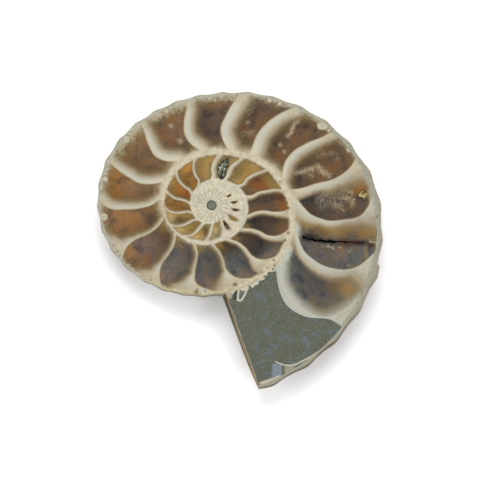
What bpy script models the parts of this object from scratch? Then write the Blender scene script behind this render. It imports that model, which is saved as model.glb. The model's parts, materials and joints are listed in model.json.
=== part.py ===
"""One polished half of a sawn ammonite, lying on its rounded side with the cut face up.

The stone is modelled in a frame of its own, the cut frame, in millimetres: the spiral's
centre is the origin, the polished face is the plane z = 0 and the stone is below it. At
the end it is laid down on its underside and scaled to metres.

A growth angle is a place along the coil, in degrees. It grows clockwise seen from above.
The broken end is at 720, the last whorl starts at 360 and the whorls inside it run back
through 0. A share is a number from 0 to 1.
"""
import math

import bmesh
import bpy
from mathutils import Vector, noise

MM = 0.001
TURN = 360.0

# The coil, in millimetres and degrees.
END_ANGLE = 720.0
LAST_WHORL_START = END_ANGLE - TURN
UMBILICUS_START = -180.0
COLUMN_STEP = 3.0
BREAK_AZIMUTH = -77.0
WHORL_GROWTH = 2.09
BREADTH_AT_END = 9.9
SEAM_RADIUS_AT_END = 13.3
WIDEST_SHARE = 0.30

# The outer wall's radius in the polished face, by growth angle.
WALL_RADII = (
    (0, 10.4), (60, 12.6), (120, 14.6), (180, 15.7), (220, 16.7), (250, 19.9),
    (280, 22.4), (310, 24.0), (340, 24.7), (365, 24.8), (390, 26.0), (420, 28.7),
    (445, 31.0), (465, 31.9), (485, 32.1), (505, 31.5), (525, 30.8), (545, 31.0),
    (560, 31.9), (575, 33.8), (590, 36.1), (605, 39.1), (620, 42.1), (635, 45.3),
    (650, 47.2), (665, 48.8), (680, 50.0), (700, 51.3), (720, 52.8), (740, 54.2),
)

# The saw cut lies beyond the shell's middle plane: by this much at the spiral's centre,
# and by this much more per millimetre towards the lean's azimuth.
CUT_OFFSET = 1.1
CUT_LEAN = 0.022
CUT_LEAN_AZIMUTH = -20.0
MOST_CUT = 0.4

# Ribs: low waves that start past the umbilical shoulder and swing forward and back.
RIB_PITCH = 12.0
RIB_PHASE = 6.0
RIB_HEIGHT_PER_RADIUS = 0.011
RIB_SWING = 5.0
RIB_START_SHARE = 0.12
RIB_FULL_SHARE = 0.47
RIB_SHARPNESS = 1.5

# A flake of outer shell that stands proud of the venter and thins out forward.
FLAKE_SPAN = (663.0, 672.0)
FLAKE_HEIGHT = 0.7

# The broken end: a nearly flat fracture that passes the centre at this distance and leans
# outward under the face. Inside the inner radius it runs straight to the seam.
BREAK_LINE_AZIMUTH = -70.4
BREAK_LINE_DISTANCE = 4.5
BREAK_INNER_RADIUS = 25.0
BREAK_LEAN = 0.11
BREAK_BLEND = 24.0
BREAK_ROUGHNESS = 0.35
BREAK_LUMP_SIZE = 3.0
BREAK_CHAINS = 4

# Rows across a whorl, from the seam outward. The umbilical wall and shoulder come first,
# as (share of the whorl's height, share of the drop from the seam to the widest place).
SHOULDER_ROWS = ((0.018, 0.45), (0.05, 0.80), (0.10, 0.95), (0.19, 0.99))
WIDEST_ROW = len(SHOULDER_ROWS) + 1
COVERED_ROW = WIDEST_ROW + 1
VENTER_ROW = COVERED_ROW + 9
RIM_ROW = VENTER_ROW + 1

# Hollows in the polished face. Empty chambers near the centre and the gravel pocket, as
# (growth angle, middle radius, length along the radius, width, depth).
EMPTY_CHAMBERS = (
    (253.0, 5.6, 1.3, 0.5, 0.7),
    (274.0, 6.3, 1.7, 0.6, 0.8),
    (292.5, 6.8, 2.0, 0.7, 0.9),
    (335.5, 6.9, 2.9, 1.1, 1.1),
)
GRAVEL_POCKET = (210.3, 10.7, 5.8, 3.0, 1.25)
FISSURE_ENDS = ((25.3, -9.0), (43.4, -10.6))
FISSURE_WIDTH = 0.7
FISSURE_DEPTH = 1.2
FISSURE_WANDER = 0.35
CUTTER_ABOVE_FACE = 1.0

STONE_COLOUR = (0.31, 0.22, 0.13)
STONE_ROUGHNESS = 0.28


def azimuth(growth):
    """The direction of a growth angle in the face plane, in radians from +X."""
    return math.radians(BREAK_AZIMUTH - growth)


def directions(growth):
    """Unit vectors outward and forward, towards the open end, at a growth angle."""
    outward = Vector((math.cos(azimuth(growth)), math.sin(azimuth(growth))))
    return outward, Vector((outward.y, -outward.x))


def self_similar(size_at_end, growth):
    """A size that grows by WHORL_GROWTH each turn of the coil."""
    return size_at_end * WHORL_GROWTH ** ((growth - END_ANGLE) / TURN)


def wall_radius(growth):
    """The outer wall's radius in the face: a smooth curve through WALL_RADII."""
    first, last = WALL_RADII[0], WALL_RADII[-1]
    if growth < first[0]:
        return first[1] * WHORL_GROWTH ** ((growth - first[0]) / TURN)
    if growth >= last[0]:
        return last[1]
    k = max(i for i, (angle, _) in enumerate(WALL_RADII) if angle <= growth)
    near, far = WALL_RADII[k], WALL_RADII[k + 1]
    before = WALL_RADII[max(k - 1, 0)]
    after = WALL_RADII[min(k + 2, len(WALL_RADII) - 1)]
    span = far[0] - near[0]
    slope_near = (far[1] - before[1]) / (far[0] - before[0]) * span
    slope_far = (after[1] - near[1]) / (after[0] - near[0]) * span
    t = (growth - near[0]) / span
    return ((2 * t**3 - 3 * t**2 + 1) * near[1] + (t**3 - 2 * t**2 + t) * slope_near
            + (3 * t**2 - 2 * t**3) * far[1] + (t**3 - t**2) * slope_far)


def seam_radius(growth):
    """Where a whorl's flank meets the whorl inside it."""
    return self_similar(SEAM_RADIUS_AT_END, growth)


def middle_plane_depth(radius, growth):
    """How deep the shell's middle plane lies under the polished face."""
    towards_lean = math.cos(azimuth(growth) - math.radians(CUT_LEAN_AZIMUTH))
    return CUT_OFFSET + CUT_LEAN * radius * towards_lean


def cross_section(growth):
    """A whorl's outer part as an ellipse about its widest place.

    Returns the widest place's radius, the ellipse's reach outward, its half breadth and
    the angle, below zero, at which the saw cut meets it past the venter.
    """
    seam = seam_radius(growth)
    wall = wall_radius(growth)
    widest = seam + WIDEST_SHARE * (wall - seam)
    breadth = self_similar(BREADTH_AT_END, growth)
    cut_angle = -math.asin(min(MOST_CUT, middle_plane_depth(wall, growth) / breadth))
    return widest, (wall - widest) / math.cos(cut_angle), breadth, cut_angle


def flank_angle_at(growth, radius):
    """The ellipse angle at which the flank passes a radius."""
    widest, reach, _, _ = cross_section(growth)
    return math.acos(max(-1.0, min(1.0, (radius - widest) / reach)))


def relief(growth, radius, angle):
    """How far ribs and the flake stand out from the ellipse."""
    seam = seam_radius(growth)
    wall = wall_radius(growth)
    share = (radius - seam) / (wall - seam)
    swing = RIB_SWING * math.sin(2.0 * math.pi * share)
    wave = 0.5 + 0.5 * math.cos(2.0 * math.pi * (growth - swing - RIB_PHASE) / RIB_PITCH)
    fade = (share - RIB_START_SHARE) / (RIB_FULL_SHARE - RIB_START_SHARE)
    height = min(1.0, max(0.0, fade)) * wave**RIB_SHARPNESS * RIB_HEIGHT_PER_RADIUS * wall
    if FLAKE_SPAN[0] <= growth < FLAKE_SPAN[1]:
        left = (FLAKE_SPAN[1] - growth) / (FLAKE_SPAN[1] - FLAKE_SPAN[0])
        height += FLAKE_HEIGHT * left * max(0.0, math.cos(angle)) ** 3
    return height


def flank_point(growth, angle):
    """Radius and depth on the flank at an ellipse angle: a right one is the widest place."""
    widest, reach, breadth, _ = cross_section(growth)
    radius = widest + reach * math.cos(angle)
    height = relief(growth, radius, angle)
    depth = middle_plane_depth(radius, growth) + (breadth + height) * math.sin(angle)
    return radius + height * math.cos(angle), depth


def whorl_point(growth, row):
    """Radius and depth of the underside on a row of a whorl."""
    seam = seam_radius(growth)
    inside = growth - TURN
    if row == 0:
        return seam, flank_point(inside, flank_angle_at(inside, seam))[1]
    if row < WIDEST_ROW:
        height_share, drop_share = SHOULDER_ROWS[row - 1]
        radius = seam + height_share * (wall_radius(growth) - seam)
        seam_depth = whorl_point(growth, 0)[1]
        full_depth = middle_plane_depth(radius, growth) + self_similar(BREADTH_AT_END, growth)
        return radius, seam_depth + drop_share * (full_depth - seam_depth)
    if row == WIDEST_ROW:
        return flank_point(growth, math.pi / 2.0)
    if row == RIM_ROW:
        return flank_point(growth, cross_section(growth)[3])[0], 0.0
    covered_angle = flank_angle_at(growth, seam_radius(growth + TURN))
    share = (row - COVERED_ROW) / (VENTER_ROW - COVERED_ROW)
    return flank_point(growth, covered_angle * (1.0 - share))


def break_shift(growth, radius, depth):
    """Degrees by which the columns near the broken end bend to follow its plane."""
    away = abs((growth + TURN / 2.0) % TURN - TURN / 2.0)
    nearness = max(0.0, 1.0 - away / BREAK_BLEND)
    reach = max(radius, BREAK_INNER_RADIUS)
    turned = math.degrees(math.asin(BREAK_LINE_DISTANCE / reach))
    lean = math.degrees(BREAK_LEAN * depth / reach)
    return nearness * (BREAK_AZIMUTH - BREAK_LINE_AZIMUTH + turned + lean)


def place(growth, row):
    """A point of the underside in the cut frame."""
    bent = growth + break_shift(growth, *whorl_point(growth, row))
    radius, depth = whorl_point(bent, row)
    outward = directions(bent)[0] * radius
    return Vector((outward.x, outward.y, -depth))


def rows_at(growth):
    """The number of the outermost row: inner whorls end where the next one covers them."""
    return RIM_ROW if growth >= LAST_WHORL_START else COVERED_ROW


def coil_vertices(mesh):
    """The underside's vertices by (growth angle, row). Whorls share those on their seam."""
    grid = {}
    columns = int((END_ANGLE - UMBILICUS_START) / COLUMN_STEP)
    for column in range(columns + 1):
        growth = UMBILICUS_START + column * COLUMN_STEP
        for row in range(rows_at(growth) + 1):
            covered = (growth - TURN, COVERED_ROW)
            if row == 0 and covered in grid:
                grid[growth, row] = grid[covered]
            else:
                grid[growth, row] = mesh.verts.new(place(growth, row))
    return grid


def add_coil(mesh, grid):
    """The underside: quads between neighbouring columns."""
    growth = UMBILICUS_START
    while growth < END_ANGLE:
        after = growth + COLUMN_STEP
        for row in range(rows_at(growth)):
            mesh.faces.new((grid[growth, row], grid[growth, row + 1],
                            grid[after, row + 1], grid[after, row]))
        growth = after


def add_umbilicus_floor(mesh, grid):
    """The middle of the umbilicus: a shallow fan over the innermost whorls."""
    edge = [grid[UMBILICUS_START, row] for row in range(COVERED_ROW, 0, -1)]
    growth = UMBILICUS_START
    while growth < UMBILICUS_START + TURN:
        edge.append(grid[growth, 0])
        growth += COLUMN_STEP
    centre_depth = CUT_OFFSET + self_similar(BREADTH_AT_END, UMBILICUS_START)
    centre = mesh.verts.new((0.0, 0.0, -centre_depth))
    for near, far in zip(edge, edge[1:] + edge[:1]):
        mesh.faces.new((near, far, centre))


def zip_chains(mesh, first, second):
    """Triangles between two chains of vertices that may differ in number."""
    i = j = 0
    while i < len(first) - 1 or j < len(second) - 1:
        first_next = (i + 1) / (len(first) - 1)
        second_next = (j + 1) / (len(second) - 1)
        if j == len(second) - 1 or (i < len(first) - 1 and first_next <= second_next):
            corners = (first[i], first[i + 1], second[j])
            i += 1
        else:
            corners = (first[i], second[j + 1], second[j])
            j += 1
        if len(set(corners)) == 3:
            mesh.faces.new(corners)


def add_break(mesh, grid):
    """The rough broken end, from the last column to the whorl that it sits on.

    Returns its vertices along the edge of the polished face, from the rim inward.
    """
    outer = [grid[END_ANGLE, row] for row in range(RIM_ROW + 1)]
    inner = [grid[LAST_WHORL_START, row] for row in range(COVERED_ROW, RIM_ROW + 1)]
    line = math.radians(BREAK_LINE_AZIMUTH)
    across = Vector((math.sin(line), -math.cos(line), 0.0))
    chains = [outer]
    for number in range(1, BREAK_CHAINS + 1):
        chain = [outer[0]]
        for k in range(1, len(inner)):
            along = k / (len(inner) - 1) * (len(outer) - 1)
            near = outer[int(along)].co
            far = outer[min(int(along) + 1, len(outer) - 1)].co
            point = near.lerp(far, along % 1.0).lerp(inner[k].co, number / (BREAK_CHAINS + 1))
            bump = BREAK_ROUGHNESS * noise.noise(point / BREAK_LUMP_SIZE)
            chain.append(mesh.verts.new(point + across * bump))
        chains.append(chain)
    chains.append(inner)
    for near, far in zip(chains, chains[1:]):
        zip_chains(mesh, near, far)
    return [chain[-1] for chain in chains]


def add_polished_face(mesh, grid, break_edge):
    """The flat cut face: one polygon inside the rim and the broken edge."""
    rim = []
    growth = LAST_WHORL_START + COLUMN_STEP
    while growth < END_ANGLE:
        rim.append(grid[growth, RIM_ROW])
        growth += COLUMN_STEP
    mesh.faces.new(rim + break_edge)


def build_stone():
    """The half ammonite as one closed mesh in the cut frame, without its hollows."""
    mesh = bmesh.new()
    grid = coil_vertices(mesh)
    add_coil(mesh, grid)
    add_umbilicus_floor(mesh, grid)
    break_edge = add_break(mesh, grid)
    add_polished_face(mesh, grid, break_edge)
    bmesh.ops.recalc_face_normals(mesh, faces=mesh.faces)
    return mesh


def crescent(growth, radius, length, width):
    """The outline of an empty chamber: a crescent that bows towards the open end."""
    outward, forward = directions(growth)
    steps = 5
    points = []
    for side, bow in ((1.0, 0.75), (-1.0, -0.25)):
        for k in range(steps):
            t = side * (1.0 - 2.0 * k / steps)
            bulge = (1.0 - t * t) * width * bow
            points.append(outward * (radius + t * length / 2.0) + forward * bulge)
    return points


def pocket(growth, radius, length, width):
    """The outline of the gravel pocket: an uneven rounded patch."""
    outward, forward = directions(growth)
    corners = 10
    points = []
    for k in range(corners):
        turn = 2.0 * math.pi * k / corners
        half = 0.5 + 0.07 * math.sin(3.0 * turn) + 0.05 * math.cos(2.0 * turn)
        points.append(outward * (radius + length * half * math.cos(turn))
                      + forward * (width * half * math.sin(turn)))
    return points


def fissure():
    """The outline of the fissure: a long thin wedge that wanders a little."""
    start, end = Vector(FISSURE_ENDS[0]), Vector(FISSURE_ENDS[1])
    along = end - start
    aside = Vector((-along.y, along.x)).normalized()
    steps = 6
    upper, lower = [], []
    for k in range(steps + 1):
        share = k / steps
        wander = FISSURE_WANDER * math.sin(2.6 * math.pi * share)
        centre = start + along * share + aside * wander
        half = FISSURE_WIDTH * (0.12 + 0.38 * math.sin(math.pi * min(1.0, share + 0.25)))
        upper.append(centre + aside * half)
        lower.append(centre - aside * half)
    return upper + lower[::-1]


def add_hollow(mesh, outline, depth):
    """A cutter: a closed plug that narrows from above the face to the hollow's floor."""
    middle = sum(outline, Vector((0.0, 0.0))) / len(outline)
    rings = []
    for height, width in ((CUTTER_ABOVE_FACE, 1.12), (-0.4 * depth, 0.92), (-depth, 0.5)):
        points = [middle + (point - middle) * width for point in outline]
        rings.append([mesh.verts.new((point.x, point.y, height)) for point in points])
    for high, low in zip(rings, rings[1:]):
        for k in range(len(outline)):
            after = (k + 1) % len(outline)
            mesh.faces.new((high[k], high[after], low[after], low[k]))
    mesh.faces.new(rings[0])
    mesh.faces.new(rings[-1])


def build_hollow_cutters():
    """All the plugs that cut the hollows out of the polished face."""
    mesh = bmesh.new()
    for growth, radius, length, width, depth in EMPTY_CHAMBERS:
        add_hollow(mesh, crescent(growth, radius, length, width), depth)
    growth, radius, length, width, depth = GRAVEL_POCKET
    add_hollow(mesh, pocket(growth, radius, length, width), depth)
    add_hollow(mesh, fissure(), FISSURE_DEPTH)
    bmesh.ops.recalc_face_normals(mesh, faces=mesh.faces)
    return mesh


def centre_of_mass(mesh):
    """The centroid of a closed mesh's volume."""
    total = 0.0
    moment = Vector((0.0, 0.0, 0.0))
    for triangle in mesh.calc_loop_triangles():
        a, b, c = (loop.vert.co for loop in triangle)
        volume = a.dot(b.cross(c)) / 6.0
        total += volume
        moment += (a + b + c) * volume / 4.0
    return moment / total


def resting_normal(mesh):
    """The underside's hull facet nearest to the centre of mass, which the stone lies on."""
    centre = centre_of_mass(mesh)
    hull = bmesh.new()
    for vertex in mesh.verts:
        hull.verts.new(vertex.co)
    bmesh.ops.convex_hull(hull, input=hull.verts)
    nearest = None
    for face in hull.faces:
        normal = face.normal.copy()
        distance = normal.dot(face.verts[0].co - centre)
        if distance < 0.0:
            normal, distance = -normal, -distance
        if normal.z < -0.9 and (nearest is None or distance < nearest[0]):
            nearest = (distance, normal)
    hull.free()
    return nearest[1]


def lay_down(stone, cutters):
    """Turns both meshes so that the stone lies on its underside, in metres."""
    turn = resting_normal(stone).rotation_difference(Vector((0.0, 0.0, -1.0))).to_matrix()
    for mesh in (stone, cutters):
        bmesh.ops.rotate(mesh, cent=(0, 0, 0), matrix=turn, verts=mesh.verts)
    low = [min(vertex.co[axis] for vertex in stone.verts) for axis in range(3)]
    high = [max(vertex.co[axis] for vertex in stone.verts) for axis in range(3)]
    bottom_centre = Vector(((low[0] + high[0]) / 2.0, (low[1] + high[1]) / 2.0, low[2]))
    for mesh in (stone, cutters):
        bmesh.ops.translate(mesh, vec=-bottom_centre, verts=mesh.verts)
        bmesh.ops.scale(mesh, vec=(MM, MM, MM), verts=mesh.verts)


def stone_material():
    """Brown calcite between cream walls, taken as one even tone."""
    material = bpy.data.materials.new("fossil_stone")
    material.use_nodes = True
    shader = material.node_tree.nodes["Principled BSDF"]
    shader.inputs["Base Color"].default_value = (*STONE_COLOUR, 1.0)
    shader.inputs["Roughness"].default_value = STONE_ROUGHNESS
    shader.inputs["Metallic"].default_value = 0.0
    return material


def add_object(name, mesh):
    """An object of the scene from a bmesh, which it frees."""
    data = bpy.data.meshes.new(name)
    mesh.to_mesh(data)
    mesh.free()
    thing = bpy.data.objects.new(name, data)
    bpy.context.scene.collection.objects.link(thing)
    return thing


def main():
    for thing in list(bpy.data.objects):
        bpy.data.objects.remove(thing)
    stone = build_stone()
    cutters = build_hollow_cutters()
    lay_down(stone, cutters)
    ammonite = add_object("ammonite_half", stone)
    ammonite.data.materials.append(stone_material())
    hollow_cutters = add_object("hollow_cutters", cutters)
    hollow_cutters.hide_render = True
    hollow_cutters.display_type = "WIRE"
    cut = ammonite.modifiers.new("hollows", "BOOLEAN")
    cut.operation = "DIFFERENCE"
    cut.solver = "EXACT"
    cut.object = hollow_cutters


main()
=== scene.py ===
"""One polished half of a sawn ammonite, lying face up on a pale table.

The stone is one closed mesh. Its plan is drawn in the cut frame, in millimetres: the
spiral's centre is the origin, the polished face is z = 0 and the stone is below it. The
frame's polished_face mount says where that plane lies on the table.

A growth angle is a place along the coil in degrees, growing clockwise seen from above: the
broken end is at 720, the last whorl starts at 360, and the whorls inside it run back
through 0. A share is a number from 0 to 1.
"""

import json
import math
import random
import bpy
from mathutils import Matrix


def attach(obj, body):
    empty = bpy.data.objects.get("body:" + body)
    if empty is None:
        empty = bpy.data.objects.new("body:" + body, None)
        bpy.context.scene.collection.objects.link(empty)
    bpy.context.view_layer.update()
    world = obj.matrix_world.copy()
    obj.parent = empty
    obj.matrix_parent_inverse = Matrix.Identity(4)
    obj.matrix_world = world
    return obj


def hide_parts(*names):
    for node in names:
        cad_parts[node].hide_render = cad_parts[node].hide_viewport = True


bl_info = {
    "name": "Sawn ammonite",
    "version": (1, 0, 0),
    "blender": (4, 5, 0),
    "location": "3D View > Sidebar > Ammonite",
    "description": "A polished half of a sawn ammonite on a pale table",
    "category": "Add Mesh",
}

from functools import lru_cache

import bpy
import numpy as np
from bpy.props import FloatProperty, FloatVectorProperty, IntProperty, PointerProperty
from mathutils import Vector, geometry, noise
from mathutils.kdtree import KDTree

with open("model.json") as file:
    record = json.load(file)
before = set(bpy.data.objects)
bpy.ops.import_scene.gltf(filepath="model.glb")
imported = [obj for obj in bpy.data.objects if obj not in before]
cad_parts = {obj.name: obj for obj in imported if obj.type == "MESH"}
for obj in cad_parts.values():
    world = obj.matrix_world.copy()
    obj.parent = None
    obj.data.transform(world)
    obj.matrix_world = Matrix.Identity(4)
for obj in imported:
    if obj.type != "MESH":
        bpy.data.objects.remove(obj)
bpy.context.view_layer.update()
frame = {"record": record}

MM = 0.001
TURN = 360.0

# ---------------------------------------------------------------- the coil, as in the solid

END_ANGLE = 720.0
LAST_WHORL_START = END_ANGLE - TURN
UMBILICUS_START = -180.0
BREAK_AZIMUTH = -77.0
WHORL_GROWTH = 2.09
BREADTH_AT_END = 9.9
SEAM_RADIUS_AT_END = 13.3
WIDEST_SHARE = 0.30

# The outer wall's radius in the polished face, by growth angle.
WALL_RADII = (
    (0, 10.4), (60, 12.6), (120, 14.6), (180, 15.7), (220, 16.7), (250, 19.9),
    (280, 22.4), (310, 24.0), (340, 24.7), (365, 24.8), (390, 26.0), (420, 28.7),
    (445, 31.0), (465, 31.9), (485, 32.1), (505, 31.5), (525, 30.8), (545, 31.0),
    (560, 31.9), (575, 33.8), (590, 36.1), (605, 39.1), (620, 42.1), (635, 45.3),
    (650, 47.2), (665, 48.8), (680, 50.0), (700, 51.3), (720, 52.8), (740, 54.2),
)
CUT_OFFSET = 1.1
CUT_LEAN = 0.022
CUT_LEAN_AZIMUTH = -20.0
MOST_CUT = 0.4
RIB_PITCH = 12.0
RIB_PHASE = 6.0
RIB_HEIGHT_PER_RADIUS = 0.011
RIB_SWING = 5.0
RIB_START_SHARE = 0.12
RIB_FULL_SHARE = 0.47
RIB_SHARPNESS = 1.5
FLAKE_SPAN = (663.0, 672.0)
FLAKE_HEIGHT = 0.7
BREAK_LINE_AZIMUTH = -70.4
BREAK_LINE_DISTANCE = 4.5
BREAK_INNER_RADIUS = 25.0
BREAK_LEAN = 0.11
BREAK_BLEND = 24.0
BREAK_ROUGHNESS = 0.30
BREAK_LUMP_SIZE = 3.0

# ------------------------------------------------------------------- the stone's fine form

COLUMN_STEP = 0.75
BREAK_CHAINS = 30
# The umbilical wall and shoulder, as (share of the whorl's height, share of the drop).
SHOULDER_ROWS = (
    (0.006, 0.17), (0.012, 0.32), (0.018, 0.45), (0.028, 0.60), (0.038, 0.71),
    (0.05, 0.80), (0.07, 0.89), (0.10, 0.95), (0.14, 0.978), (0.19, 0.99), (0.245, 0.996),
)
WIDEST_ROW = len(SHOULDER_ROWS) + 1
COVERED_ROW = WIDEST_ROW + 4
VENTER_ROW = COVERED_ROW + 26
RIM_ROW = VENTER_ROW + 4
SKIN_INSET = 0.07  # keeps the fine form inside the solid's flat facets
RIBLET_PITCH = 4.0
RIBLET_DEPTH_PER_RADIUS = 0.0028
WEATHERING_DEPTH = 0.10
WEATHERING_SIZE = 2.4

# --------------------------------------------------------------------- the face's chambers

# Where the chambers of the second whorl begin and end along the radius.
INNER_LIMITS = (
    (-120, 4.9), (0, 4.9), (20, 5.2), (60, 5.6), (90, 5.75), (120, 6.15), (150, 6.45),
    (180, 7.0), (200, 7.55), (230, 8.2), (250, 9.2), (270, 9.9), (300, 10.35), (345, 10.5),
    (360, 10.4),
)
OUTER_LIMITS = (
    (-120, 5.9), (-100, 6.4), (-80, 7.2), (-60, 8.1), (-40, 8.6), (-20, 9.0), (0, 9.5),
    (20, 10.1), (40, 10.8), (60, 12.0), (80, 12.9), (100, 13.3), (120, 13.4), (150, 13.7),
    (180, 14.0), (200, 14.4), (220, 15.4), (240, 17.4), (250, 18.5), (260, 19.3),
    (270, 20.2), (280, 21.4), (290, 22.1), (300, 22.7), (315, 23.1), (330, 23.2),
    (360, 23.9),
)
SHELL_THICKNESS = 0.6

# Septa: growth angles where SEPTUM_SHARES stand, from the inner wall to the outer.
SEPTUM_SHARES = (0.0, 0.15, 0.35, 0.6, 0.85, 1.0)
SEPTA = (
    (-27, -21, -19.5, -17.5, -10.5, -6.5),
    (6, 8.5, 10.5, 13.5, 18, 22),
    (32, 36.5, 38.5, 41.5, 46.5, 53.5),
    (56, 62, 64, 66.5, 71.5, 77),
    (79, 86, 88, 90, 94.5, 99.5),
    (105, 110.5, 112.5, 113, 117, 119.5),
    (129, 136, 136.5, 138, 141.5, 145),
    (157, 164, 163.5, 165, 169, 172.5),
    (191, 194, 192.5, 194, 197.5, 200.5),
    (217, 219.5, 218.5, 219, 223.5, 225.5),
    (244.5, 248, 245.5, 246, 248.5, 250),
    (267.5, 269.5, 267.5, 268, 269, 271),
    (299.5, 293, 289.5, 289.5, 288, 286),
    (322, 315.5, 312, 311.5, 306.5, 300.5),
    (346, 338.5, 335, 334.5, 329, 321.5),
    (371, 364.5, 361, 360, 353, 343.5),
    (396, 390, 388, 387, 382, 370),
    (424, 417.5, 414.5, 413.5, 409, 405),
    (448.5, 442, 439, 439, 436, 432),
    (471, 464, 461, 460.5, 461.5, 464.5),
    (490, 484, 480.5, 482, 484.5, 486.5),
    (517, 508.5, 504.5, 507, 511, 512.5),
    (541.5, 535.5, 532.5, 534.5, 538.5, 540),
    (569.5, 563.5, 560, 562, 565, 567),
    (590, 588, 586, 587, 590.5, 593.5),
    (622, 614, 610, 610, 611.5, 611.5),
    (632, 632.5, 631.5, 631, 628, 625),
    (633.5, 646, 650.5, 649.5, 646, 639.5),
    (657.5, 668, 671.5, 670.5, 665.5, 659),
    (680.5, 689.5, 692.5, 691, 685, 674),
    (686.5, 692.5, 696, 693.5, 687, 686),
)

# What fills each chamber, first to last: the milky band's width in millimetres at
# BAND_SHARES, how far milk reaches in from the inner and the outer wall, then the clear
# calcite's tones at the inner end, the middle and the outer end.
BAND_SHARES = (0.0, 0.3, 0.6, 0.8, 0.9, 1.0)
CHAMBERS = (
    ((0.5, 1.4, 1.2, 1.0, 0.9, 0.9), 0.2, 0.3, "khaki", "straw", "straw"),
    ((0.8, 1.1, 1.0, 0.8, 0.9, 0.9), 0.2, 0.3, "olive", "honey", "straw"),
    ((0.9, 1.0, 0.9, 0.8, 0.7, 0.7), 0.2, 0.3, "olive", "honey", "straw"),
    ((0.6, 0.8, 0.8, 0.7, 0.7, 0.7), 0.2, 0.3, "olive", "honey", "straw"),
    ((0.7, 0.7, 0.7, 0.7, 0.8, 0.8), 0.2, 0.3, "amber", "amber", "gold"),
    ((0.7, 0.7, 0.7, 0.7, 0.8, 0.8), 0.2, 0.3, "rust", "amber", "gold"),
    ((0.7, 0.7, 0.7, 0.7, 0.8, 0.8), 0.2, 0.3, "amber", "amber", "gold"),
    ((0.7, 0.7, 0.7, 0.7, 0.8, 0.8), 0.2, 0.3, "khaki", "khaki", "khaki"),
    ((1.4, 1.3, 1.4, 1.4, 1.4, 1.4), 0.2, 0.3, "khaki", "olive", "khaki"),
    ((0.9, 1.4, 1.2, 0.9, 0.9, 0.9), 0.2, 0.3, "khaki", "honey", "khaki"),
    ((0.9, 0.9, 0.9, 0.8, 0.8, 0.8), 0.2, 0.3, "umber", "rust", "olive"),
    ((1.2, 0.9, 0.9, 0.9, 0.9, 0.9), 0.2, 0.3, "coffee", "coffee", "rust"),
    ((0.9, 1.0, 1.1, 1.5, 2.0, 2.4), 0.25, 0.3, "soot", "bark", "walnut"),
    ((0.9, 1.1, 1.2, 1.5, 1.8, 2.0), 0.25, 0.3, "bark", "soot", "smoke"),
    ((0.9, 1.0, 1.3, 3.0, 3.6, 4.0), 0.25, 0.3, "bark", "lead", "smoke"),
    ((0.95, 0.85, 1.15, 4.3, 6.0, 6.5), 0.3, 0.4, "slate", "slate", "taupe"),
    ((1.05, 0.85, 1.3, 4.0, 7.0, 8.5), 0.3, 0.5, "slate", "smoke", "taupe"),
    ((1.05, 0.95, 1.05, 2.8, 5.6, 7.5), 0.6, 0.4, "coffee", "cocoa", "tawny"),
    ((1.05, 0.95, 1.25, 2.6, 5.6, 7.6), 1.3, 0.8, "walnut", "tawny", "tawny"),
    ((1.8, 2.0, 2.4, 2.8, 3.4, 4.2), 1.6, 1.6, "umber", "tawny", "amber"),
    ((2.6, 2.8, 2.8, 2.6, 2.5, 2.7), 1.35, 2.0, "umber", "umber", "tawny"),
    ((3.1, 3.4, 3.1, 2.5, 2.2, 2.0), 1.0, 1.9, "coffee", "clay", "umber"),
    ((3.2, 3.3, 3.2, 3.0, 2.7, 2.6), 1.0, 1.5, "coffee", "coffee", "umber"),
    ((3.5, 3.9, 4.0, 4.0, 3.9, 3.8), 2.1, 1.0, "walnut", "walnut", "coffee"),
    ((4.5, 3.9, 3.4, 3.0, 3.3, 3.7), 1.6, 1.0, "walnut", "walnut", "walnut"),
    ((2.4, 3.2, 2.8, 2.3, 2.6, 2.9), 1.4, 0.7, "bark", "walnut", "walnut"),
    ((2.8, 2.3, 3.0, 4.0, 5.2, 6.5), 1.8, 1.4, "soot", "coffee", "coffee"),
    ((3.6, 1.7, 1.9, 2.3, 4.0, 6.0), 2.2, 0.1, "slate", "slate", "lead"),
    ((1.4, 2.6, 3.2, 2.6, 5.0, 8.0), 2.0, 0.7, "lead", "slate", "lead"),
    ((9.0, 9.0, 9.0, 9.0, 9.0, 9.0), 0.2, 0.2, "straw", "straw", "straw"),
)
SECOND_WHORL_CHAMBERS = 15
THICK_BANDS_FROM = 19
LAST_CHAMBER = 28
LAST_SEPTUM = 29

BRASS_ROOTS = range(12, 22)  # chambers stained like brass in the corner by the inner wall

# Chambers with golden calcite after their band: how far it reaches, the share of the way
# outward where it starts, and its tone.
GOLDEN_FRONTS = {26: (4.0, 0.72, "amber"), 27: (4.2, 0.10, "khaki"), 28: (5.5, 0.80, "tan")}

TONES = {
    "slate": "#5c5955", "lead": "#5e5f5b", "smoke": "#6a635b", "taupe": "#7a6a60",
    "cocoa": "#716055", "coffee": "#5b4c40", "bark": "#4c4136", "soot": "#413b36",
    "walnut": "#68523d", "clay": "#7c6147", "tawny": "#8a6a48", "umber": "#745c42",
    "amber": "#8f6834", "rust": "#7a5232", "honey": "#977b46", "gold": "#a78044",
    "straw": "#b4a070", "olive": "#8a7443", "khaki": "#9a8250", "jet": "#201b19",
    "maroon": "#3a2628", "peat": "#4c3a26", "steel": "#8a95a2", "moss": "#5f5b3c",
    "milk": "#cfccbc", "seam": "#c3b899", "cream": "#d9d0b6", "sand": "#c5b999",
    "dun": "#bdb297", "mist": "#c2c2b3", "wall": "#d6cbae", "ivory": "#cfc49f",
    "chalk": "#bdb9a6", "ash": "#aaaa99", "pebble": "#a9a68f", "tan": "#a18761",
    "brass": "#8a733f", "silt": "#757a68", "dark_silt": "#4d5347", "rose": "#cdb69c",
}

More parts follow.
